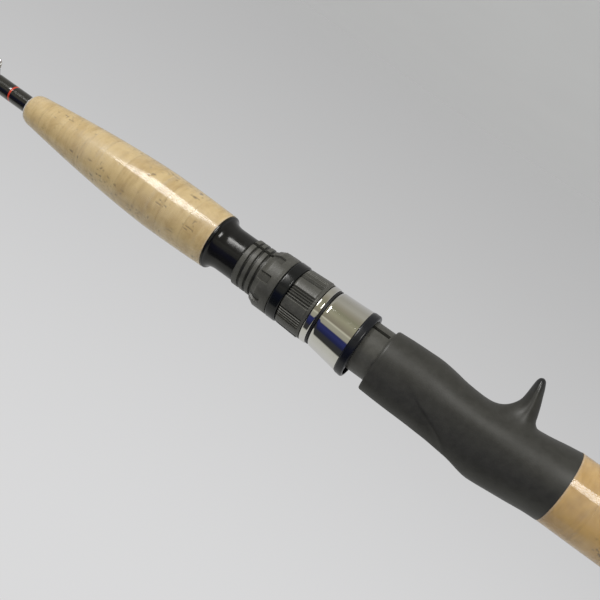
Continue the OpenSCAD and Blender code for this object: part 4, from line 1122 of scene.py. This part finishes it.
class ROD_OT_hood(RodMaker, bpy.types.Operator):
    """Make the polished hood, its rubber end ring, the groove ring and the retaining ring"""
    bl_idname = "rod.hood"
    bl_label = "Hood"

    def make(self, sizes):
        x0, x1 = HOOD_X
        rear, front, raised, wall = TUBE_R + 2.85, TUBE_R + 1.5, 0.8, 0.8
        nose = x1 - 1.5 + 1.5 * np.linspace(0.1, 1, 9)
        x = np.concatenate([[x0], np.linspace(x0 + 0.2, x1 - 1.5, 30), nose])
        t = np.clip((x - x0) / (x1 - 1.2 - x0), 0, 1)
        r = rear + (front + 0.1 - rear) * t ** 0.92
        r -= 0.55 * smooth_step(x1 - 1.5, x1 + 0.15, x)
        rise = raised * (1 - t)
        flange = TUBE_R + 0.85
        inner_x = np.array([x1, x1 - 1.2, x1 - 1.3, x0])
        inner_t = np.clip((inner_x - x0) / (x1 - 1.2 - x0), 0, 1)
        inner_r = rear + (front - rear) * inner_t - wall
        inner_r[:2] = flange
        rows = np.column_stack([np.concatenate([x, inner_x]), np.concatenate([r, inner_r])])
        lift = np.concatenate([rise, raised * (1 - inner_t) * np.array([0, 0, 1, 1])])
        piece("hood_shell_polished", [skin(turned(rows, angles(192), lift))], "hood chrome", "hood",
              "hood_chrome", "hood_shell", sharp=60)
        b0, b1 = BUMPER_X
        big, bore = rear + 0.35, TUBE_R + 0.3
        outline = [[b0, bore], [b0, big - 0.5], [b0 + 0.6, big], [b1 - 0.6, big - 0.1],
                   [b1, big - 0.4], [b1, bore]]
        rows, wear = soften(outline, [0.1, 0.5, 0.9, 0.9, 0.3, 0.1], 6)
        lift = np.where(rows[:, 1] > TUBE_R + 1.2, np.interp(rows[:, 0], [b0, b1], [1.0, 0.8]), 0.0)
        end_ring = piece("hood_bumper_moulded", [skin(turned(rows, angles(128), lift), wear=wear)],
                         "bumper rubber", "hood", "bumper", "hood_bumper", sharp=50)
        across = np.linspace(-8.2, 8.2, 25)
        roof = np.column_stack([across, 1.0 + np.sqrt((big - 1.3) ** 2 - across ** 2)])
        cut(end_ring, prism((b0 - 1, b1 + 1), np.concatenate([[[8.2, 4.0], [-8.2, 4.0]], roof])))
        lip = 0.85
        g0, g1 = GROOVE_X[0], GROOVE_X[1] - lip
        outline = [[g0, flange + 0.35], [g0, TUBE_R + 1.55], [g1, TUBE_R + 1.55], [g1, flange + 0.35]]
        rows, _ = soften(outline, 0.3, 5)
        hollow = np.sin(math.pi * (rows[:, 0] - g0) / (g1 - g0))
        waist = rows[:, 1] - 0.35 * (rows[:, 1] > TUBE_R + 1.4) * hollow
        piece("groove_ring_turned", [skin(turned(np.column_stack([rows[:, 0], waist]), angles(144)))],
              "groove rubber", "hood", "groove_ring", "groove_ring")
        r0, r1 = RETAIN_X[0] - lip, RETAIN_X[1]
        big, bore = TUBE_R + 1.85, TUBE_R + 0.5
        outline = [[r0, bore], [r0, big - 0.4], [r0 + 0.4, big], [r1 - 0.4, big], [r1, big - 0.4], [r1, bore]]
        piece("retaining_ring_polished", [ring(outline, [0.05, 0.3, 0.35, 0.35, 0.3, 0.05], 192, steps=6)],
              "hood chrome", "hood", "hood_chrome", "retaining_ring", sharp=60)
        dress_node("hood_liner", "liner resin")


class ROD_OT_nuts(RodMaker, bpy.types.Operator):
    """Make the ribbed clamp nut, the thrust ring and the notched lock nut"""
    bl_idname = "rod.nuts"
    bl_label = "Nuts"

    def make(self, sizes):
        piece("clamp_nut_ribbed", [ribbed_nut()], "nut resin", "clamp_nut", "nut", "clamp_nut", sharp=50)
        x0, x1 = THRUST_X[0], LOCK_X[0] - 0.1
        bore, big = TUBE_R - 0.3, TUBE_R + 1.95
        outline = [[x0, bore], [x0, big - 0.5], [x0 + 0.5, big], [x1 - 0.5, big], [x1, big - 0.5],
                   [x1, bore + 1.1], [THRUST_X[1], bore + 1.1], [THRUST_X[1], bore]]
        piece("thrust_ring_turned", [ring(outline, [0.1, 0.4, 0.5, 0.5, 0.4, 0.1, 0.2, 0.1], 144, steps=5)],
              "thrust black", "thrust_ring", "thrust_ring", "thrust_ring", sharp=50)
        piece("lock_nut_notched", [notched_nut()], "nut resin", "lock_nut", "nut", "lock_nut", sharp=50)


def wrap_skin(start, end, height, foot=None):
    """Epoxied thread wrap: the blank's radius plus a height that swells smoothly at both ends.

    With a foot's half angle the wrap keeps its height over the foot and is lower elsewhere."""
    blend_l, around = 1.6, 72
    x = np.concatenate([
        np.linspace(start, start + blend_l, 12), np.linspace(start + blend_l, end - blend_l, 14)[1:-1],
        np.linspace(end - blend_l, end, 12)])
    a = angles(around)
    up = np.sqrt(np.clip(1 - (1 - np.clip((x - start) / blend_l, 0, 1)) ** 2, 0, 1))
    down = np.sqrt(np.clip(1 - (1 - np.clip((end - x) / blend_l, 0, 1)) ** 2, 0, 1))
    lift = np.minimum(up, down)[:, None] * height + np.zeros((1, around))
    if foot is not None:
        off = np.abs((a - math.pi / 2 + math.pi) % TURN - math.pi)
        lift = lift * (0.55 + 0.45 * np.exp(-(off / foot) ** 2))[None]
    r = blank_radius(x)[:, None] + 0.05 + lift
    inner = np.broadcast_to((blank_radius(np.array([end, start])) + 0.02)[:, None], (2, around))
    xs = np.concatenate([x, [end, start]])
    rr = np.concatenate([r, inner])
    grid = round_grid(xs, rr, a)
    return skin(grid)


def ring_holder(x, z, d):
    """Collar of the wire frame that holds a line ring of diameter d, its corners softened."""
    r, half_l, thick = d / 2 + GAP, 0.8, 0.7
    outline = [[x - half_l, r], [x - half_l, r + thick], [x + half_l, r + thick], [x + half_l, r]]
    return ring(outline, [0.1, 0.34, 0.34, 0.1], 72, rise=z)


def line_ring(x, z, d):
    """Ceramic ring of diameter d that the line runs through, rounded most at its bore."""
    r, half_l, wall = d / 2, 1.1, 0.9 + 0.05 * d
    outline = [[x - half_l, r - wall], [x - half_l, r], [x + half_l, r], [x + half_l, r - wall]]
    return ring(outline, [0.85, 0.35, 0.35, 0.85], 72, rise=z, steps=8)


class ROD_OT_keeper(RodMaker, bpy.types.Operator):
    """Make the hook keeper, its two wraps and the red band"""
    bl_idname = "rod.keeper"
    bl_label = "Hook keeper"

    def make(self, sizes):
        x0, x1 = KEEPER_X
        b0, b1 = BAND_X
        r = half_width("keeper_wrap")
        bore = clear_radius(x0)
        t = np.linspace(0, 1, 12) * math.pi / 2
        nose = np.column_stack([x1 - 1.8 + 1.8 * np.sin(t), r - (r - bore) * (1 - np.cos(t))])
        rows = np.concatenate([[[x0, bore], [x0, r - 0.05], [x0 + 0.4, r]],
                               np.column_stack([np.linspace(x0 + 1, b0 - 0.12, 10), np.full(10, r)]),
                               [[b0, r - 0.03], [b0, r - 0.25], [b1, r - 0.25], [b1, r - 0.03]],
                               np.column_stack([np.linspace(b1 + 0.12, x1 - 1.9, 8), np.full(8, r)]), nose])
        piece("keeper_wrap_wound", [skin(turned(rows, angles(96)))], "wrap black", "butt_section",
              "thread_wrap", "keeper_wrap", sharp=60)
        outline = [[b0, r - 0.25], [b0, r - 0.01], [b1, r - 0.01], [b1, r - 0.25]]
        piece("keeper_band_wound", [ring(outline, [0.02, 0.12, 0.12, 0.02], 96)], "wrap red",
              "butt_section", "trim_band", "keeper_trim_band", sharp=60)
        piece("keeper_front_wrap_wound", [wrap_skin(*FRONT_WRAP_X, 0.75)], "wrap black", "butt_section",
              "thread_wrap", "keeper_front_wrap", sharp=60)
        foot = 6.0
        lie = -clear_radius(x1 - foot)
        low = lie - 5.9
        f0 = FRONT_WRAP_X[0]
        path = smooth_path([
            [x1 - foot + 0.4, 0, lie - 0.13], [x1 - 3, 0, lie - 0.13], [x1 + 0.3, 0, lie - 0.2],
            [x1 + 1.4, 0, lie - 1.6], [x1 + 2.8, 0, low + 0.9], [x1 + 4.6, 0, low], [f0 - 4.6, 0, low],
            [f0 - 2.8, 0, low + 0.9], [f0 - 1.4, 0, lie - 1.6], [f0 - 0.3, 0, lie - 0.2],
            [f0 + 3, 0, lie - 0.13], [f0 + foot - 0.4, 0, lie - 0.13]], 90)
        flat = np.maximum(smooth_step(x1 + 1.2, x1 - 0.6, path[:, 0]),
                          smooth_step(f0 - 1.2, f0 + 0.6, path[:, 0]))
        piece("hook_keeper_wire", [sweep(path, 0.5 + 0.28 * flat, 0.5 - 0.375 * flat)], "keeper wire",
              "butt_section", "wire", "hook_keeper", sharp=60)


class ROD_OT_guides(RodMaker, bpy.types.Operator):
    """Make the eight double-foot guides: wire frames, ceramic rings and thread wraps"""
    bl_idname = "rod.guides"
    bl_label = "Line guides"

    def make(self, sizes):
        for number in range(1, GUIDES + 1):
            x, z, d = ring_place(f"guide_ring_{number}")
            body = "butt_section" if x < BUTT_BLANK_X[1] else "tip_section"
            leg, foot = 3 + 0.75 * d, 7 + 0.35 * d
            rear, front = x - leg, x + 0.8 * leg
            collar = d / 2 + 0.42
            rear_z = clear_radius(rear - foot)
            front_z = clear_radius(front)
            rear_path = smooth_path([
                [rear - foot, 0, rear_z + 0.12], [rear - foot * 0.5, 0, rear_z + 0.25],
                [rear - 1.0, 0, rear_z + 0.32], [rear + leg * 0.12, 0, rear_z + 0.9],
                [x - leg * 0.35, 0, rear_z + (z - collar - rear_z) * 0.55],
                [x - 0.15, 0, z - collar - 0.1]], 46)
            flat = smooth_step(rear + 0.4, rear - 1.8, rear_path[:, 0])
            thin = WIRE - 0.26 * flat - 0.14 * smooth_step(rear - foot * 0.4, rear - foot, rear_path[:, 0])
            skins = [sweep(rear_path, WIRE + 0.34 * flat, thin)]
            for side in (-1, 1):
                front_path = smooth_path([
                    [front + foot, side * 0.25, front_z + 0.1],
                    [front + foot * 0.5, side * 0.32, front_z + 0.22],
                    [front + 0.8, side * 0.42, front_z + 0.32],
                    [front - leg * 0.12, side * 0.8, front_z + 1.0],
                    [x + leg * 0.28, side * collar * 0.62, front_z + (z - collar * 0.5 - front_z) * 0.62],
                    [x + 0.1, side * collar * 0.87, z - collar * 0.5]], 46)
                flat = smooth_step(front - 0.2, front + 1.8, front_path[:, 0])
                skins.append(sweep(front_path, WIRE + 0.02 * flat, WIRE - 0.28 * flat))
            skins.append(ring_holder(x, z, d))
            piece(f"guide_frame_{number}_wire", skins, "guide steel", body, "guide_frame",
                  f"guide_frame_{number}", sharp=60)
            piece(f"guide_ring_{number}_polished", [line_ring(x, z, d)], "ring ceramic",
                  body, "guide_ceramic", f"guide_ring_{number}", sharp=60)
            height = 1.05
            over = math.radians(55)
            piece(f"guide_wraps_{number}_wound", [
                wrap_skin(rear - foot - 2, rear - 1.2, height, over),
                wrap_skin(front + 1.2, front + foot + 2, height, over)],
                "wrap black", body, "thread_wrap", f"guide_wraps_{number}", sharp=60)


class ROD_OT_tip(RodMaker, bpy.types.Operator):
    """Make the tip top, its ceramic ring, and the wraps at the tip and at the joint"""
    bl_idname = "rod.tip"
    bl_label = "Tip top and joint"

    def make(self, sizes):
        x, z, d = ring_place("tip_top_ring")
        end = x - 2
        start = end - 14
        r = float(blank_radius(start)) + 0.45
        bore = r - 0.4
        outline = [[start, bore], [start, r], [end, r], [end, 0], [end - 0.8, 0], [end - 0.8, bore]]
        skins = [ring(outline, [0.1, 0.25, 0.3, 0.0, 0.0, 0.1], 48)]
        collar = d / 2 + 0.42
        path = smooth_path([[end - 5, 0, r - 0.15], [end - 1.5, 0, r - 0.05], [end + 0.5, 0, r + 0.5],
                            [x - 0.1, 0, z - collar - 0.1]], 30)
        skins.append(sweep(path, 0.52, 0.52))
        for side in (-1, 1):
            path = smooth_path([[start + 2, side * (r - 0.3), 0.3], [start + 6, side * (r + 0.05), 1.0],
                                [end - 1.5, side * collar * 0.66, z * 0.42],
                                [x, side * collar * 0.87, z - collar * 0.5]], 36)
            skins.append(sweep(path, 0.45, 0.45))
        skins.append(ring_holder(x, z, d))
        piece("tip_top_frame", skins, "guide steel", "tip_section", "guide_frame", "tip_top", sharp=60)
        piece("tip_top_ring_polished", [line_ring(x, z, d)], "ring ceramic",
              "tip_section", "guide_ceramic", "tip_top_ring", sharp=60)
        for node, body, height in (
            ("tip_top_wrap", "tip_section", 0.36), ("tip_joint_wrap", "tip_section", 0.5),
            ("butt_joint_wrap", "butt_section", 0.5),
        ):
            piece(node + "_wound", [wrap_skin(*span(node), height)], "wrap black", body, "thread_wrap",
                  node, sharp=60)
        dress_node("ferrule_spigot", "spigot graphite")
        for node in ("rear_arbor", "middle_arbor", "front_arbor"):
            dress_node(node, "arbor foam")


def dress_node(node, name):
    """Gives a CAD node that stays its detailed material."""
    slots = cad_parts[node].material_slots
    if not slots:
        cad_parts[node].data.materials.append(FINISHES[name])
    for slot in slots:
        slot.material = FINISHES[name]


# ---------- stage ----------

# Light round the rod, by the turn from straight behind it (0), over the top (0.25), the front
# (0.5) and below (0.75) to behind again: pale walls, a dark front with a blue panel above it
SURROUNDINGS = (
    (0.00, (0.50, 0.50, 0.51)), (1.00, (0.50, 0.50, 0.51)), (0.20, (0.52, 0.52, 0.49)),
    (0.30, (0.47, 0.47, 0.42)), (0.315, (0.035, 0.035, 0.032)), (0.37, (0.030, 0.031, 0.035)),
    (0.39, (0.016, 0.019, 0.060)), (0.435, (0.025, 0.031, 0.115)), (0.462, (0.024, 0.028, 0.10)),
    (0.47, (0.31, 0.30, 0.235)), (0.51, (0.34, 0.33, 0.26)), (0.52, (0.54, 0.53, 0.42)),
    (0.535, (0.22, 0.20, 0.15)), (0.608, (0.31, 0.30, 0.21)), (0.653, (0.23, 0.225, 0.155)),
    (0.70, (0.28, 0.26, 0.20)), (0.755, (0.37, 0.36, 0.31)), (0.82, (0.34, 0.33, 0.29)))


# Lamps: place, aim and size in metres, share of the power that the stage sets, and colour
LAMPS = (
    ("front lamp", (0.745, -0.495, -0.495), (0.42, 0, 0), (0.27, 0.34), 1.0, (1.0, 0.99, 0.97)),
    ("rear lamp", (0.01, -0.54, -0.44), (0.20, 0, 0), (0.22, 0.26), 0.55, (1.0, 0.99, 0.96)))


def area_light(name, at, towards, size, power, tint):
    """Soft rectangular light, its place and aim in metres."""
    data = bpy.data.lights.new(name, "AREA")
    data.shape, data.size, data.size_y = "RECTANGLE", size[0], size[1]
    data.energy, data.color = power, tint
    obj = bpy.data.objects.new(name, data)
    obj.location = at
    obj.rotation_mode = "QUATERNION"
    obj.rotation_quaternion = (Vector(towards) - Vector(at)).to_track_quat("-Z", "Y")
    bpy.context.scene.collection.objects.link(obj)


class ROD_OT_stage(bpy.types.Operator):
    """Make the camera, the pale floor, the surrounding light and the lamps"""
    bl_idname = "rod.stage"
    bl_label = "Stage"

    def execute(self, context):
        stage = context.scene.rod_stage
        lean = stage.camera_lean
        eye = Vector((stage.camera_foot, -stage.camera_distance * math.cos(lean),
                      -stage.camera_distance * math.sin(lean)))
        ahead = (Vector((stage.camera_aim, 0, 0)) - eye).normalized()
        along = (Vector((1, 0, 0)) - ahead * ahead.x).normalized()
        across = along.cross(ahead)
        turn = stage.camera_roll
        right = -math.cos(turn) * along - math.sin(turn) * across
        up = math.sin(turn) * along - math.cos(turn) * across
        camera = bpy.data.objects.new("camera", bpy.data.cameras.new("camera"))
        axes = Matrix((right, up, -ahead)).transposed().to_4x4()
        camera.matrix_world = Matrix.Translation(eye) @ axes
        camera.data.lens, camera.data.sensor_width = stage.lens, SENSOR
        camera.data.clip_start, camera.data.clip_end = 0.01, 100
        context.scene.collection.objects.link(camera)
        context.scene.camera = camera
        self.make_world(context.scene)
        power = stage.key_power
        for name, at, towards, size, share, tint in LAMPS:
            area_light(name, at, towards, size, share * power, tint)
        self.make_floor(stage)
        sky = bpy.data.objects.new("sky", bpy.data.lights.new("sky", "SUN"))
        sky.data.energy, sky.data.angle = 0.8, math.radians(80)
        sky.visible_glossy = False
        context.scene.collection.objects.link(sky)
        return {"FINISHED"}

    def make_floor(self, stage):
        """Floor as a wide disc of rings; its far part fades out, so that no edge shows. The two
        lamps don't light it, so that it stays plain, and it isn't seen in reflections."""
        r = np.concatenate([[0.0], np.geomspace(0.2, 14, 24)])
        a = angles(64)
        grid = np.stack([0.9 + r[:, None] * np.cos(a), r[:, None] * np.sin(a),
                         np.full((len(r), 64), -stage.floor_depth)], -1) / MM
        tree, shader = finish("floor paint", Roughness=0.9)
        here = place(tree)
        speck = noise(tree, here, 900.0, 2.0)
        cloud = noise(tree, here, 3.0, 3.0)
        tone = blend(tree, plus(tree, times(tree, speck, 0.3), times(tree, cloud, 0.7)),
                     (0.74, 0.745, 0.75, 1), (0.81, 0.815, 0.82, 1))
        tree.links.new(tone, shader["Base Color"])
        away = put(tree, "ShaderNodeVectorMath", {0: here}, operation="LENGTH").outputs["Value"]
        tree.links.new(ramp(tree, away, 1.2, 6.0, 1.0, 0.0), shader["Alpha"])
        floor = piece("floor", [skin(grid, loop_rows=False)], "floor paint", None, None)
        floor.visible_glossy = False
        unlit = bpy.data.collections.new("not lit by the lamps")
        unlit.objects.link(floor)
        unlit.collection_objects[0].light_linking.link_state = "EXCLUDE"
        for name, *_ in LAMPS:
            bpy.data.objects[name].light_linking.receiver_collection = unlit

    def make_world(self, scene):
        """A pale gradient for the camera, and the ring of SURROUNDINGS for light and reflections."""
        world = bpy.data.worlds.new("studio")
        world.use_nodes = True
        tree = world.node_tree
        tree.nodes.clear()
        toward = put(tree, "ShaderNodeTexCoord").outputs["Generated"]
        parts = put(tree, "ShaderNodeSeparateXYZ", {0: toward}).outputs
        high = ramp(tree, parts[2], -0.45, 0.60)
        seen = blend(tree, high, (0.40, 0.40, 0.40, 1), (0.70, 0.70, 0.705, 1))
        round_rod = calc(tree, "ARCTAN2", times(tree, parts[2], -1.0), times(tree, parts[1], -1.0))
        wander = noise(tree, toward, 2.5, 2.0)
        round_rod = plus(tree, round_rod, times(tree, minus(tree, wander, 0.5), 0.10))
        share = plus(tree, calc(tree, "DIVIDE", round_rod, TURN), 0.5)
        light = band(tree, share, SURROUNDINGS)
        ray = put(tree, "ShaderNodeLightPath").outputs["Is Camera Ray"]
        colour_out = blend(tree, ray, light, seen)
        back = put(tree, "ShaderNodeBackground", {"Color": colour_out, "Strength": 1.0})
        out = put(tree, "ShaderNodeOutputWorld")
        tree.links.new(back.outputs[0], out.inputs["Surface"])
        scene.world = world
        scene.view_settings.view_transform = "Standard"


PIECES = (ROD_OT_blanks, ROD_OT_butt_cap, ROD_OT_rear_grip, ROD_OT_reel_seat, ROD_OT_hood, ROD_OT_nuts,
          ROD_OT_foregrip, ROD_OT_keeper, ROD_OT_guides, ROD_OT_tip)


class ROD_PT_panel(bpy.types.Panel):
    """Lists the settings and one button for each operator"""
    bl_idname = "ROD_PT_panel"
    bl_label = "Casting rod"
    bl_space_type = "VIEW_3D"
    bl_region_type = "UI"
    bl_category = "Rod"

    def draw(self, context):
        scene = context.scene
        for group in (scene.rod_sizes, scene.rod_colours, scene.rod_stage):
            box = self.layout.box()
            for key in group.__annotations__:
                box.prop(group, key)
        for operator in (ROD_OT_finishes, *PIECES, ROD_OT_stage):
            self.layout.operator(operator.bl_idname)


CLASSES = (RodSizes, RodColours, RodStage, ROD_OT_finishes, *PIECES, ROD_OT_stage, ROD_PT_panel)


def register():
    """Registers the classes and the three groups of settings."""
    for cls in CLASSES:
        bpy.utils.register_class(cls)
    bpy.types.Scene.rod_sizes = bpy.props.PointerProperty(type=RodSizes)
    bpy.types.Scene.rod_colours = bpy.props.PointerProperty(type=RodColours)
    bpy.types.Scene.rod_stage = bpy.props.PointerProperty(type=RodStage)


def unregister():
    """Takes the settings and the classes away again."""
    del bpy.types.Scene.rod_sizes, bpy.types.Scene.rod_colours, bpy.types.Scene.rod_stage
    for cls in reversed(CLASSES):
        bpy.utils.unregister_class(cls)


def main():
    register()
    bpy.ops.rod.finishes()
    for operator in PIECES:
        group, name = operator.bl_idname.split(".")
        getattr(getattr(bpy.ops, group), name)()
    bpy.ops.rod.stage()


if __name__ == "__main__":
    main()
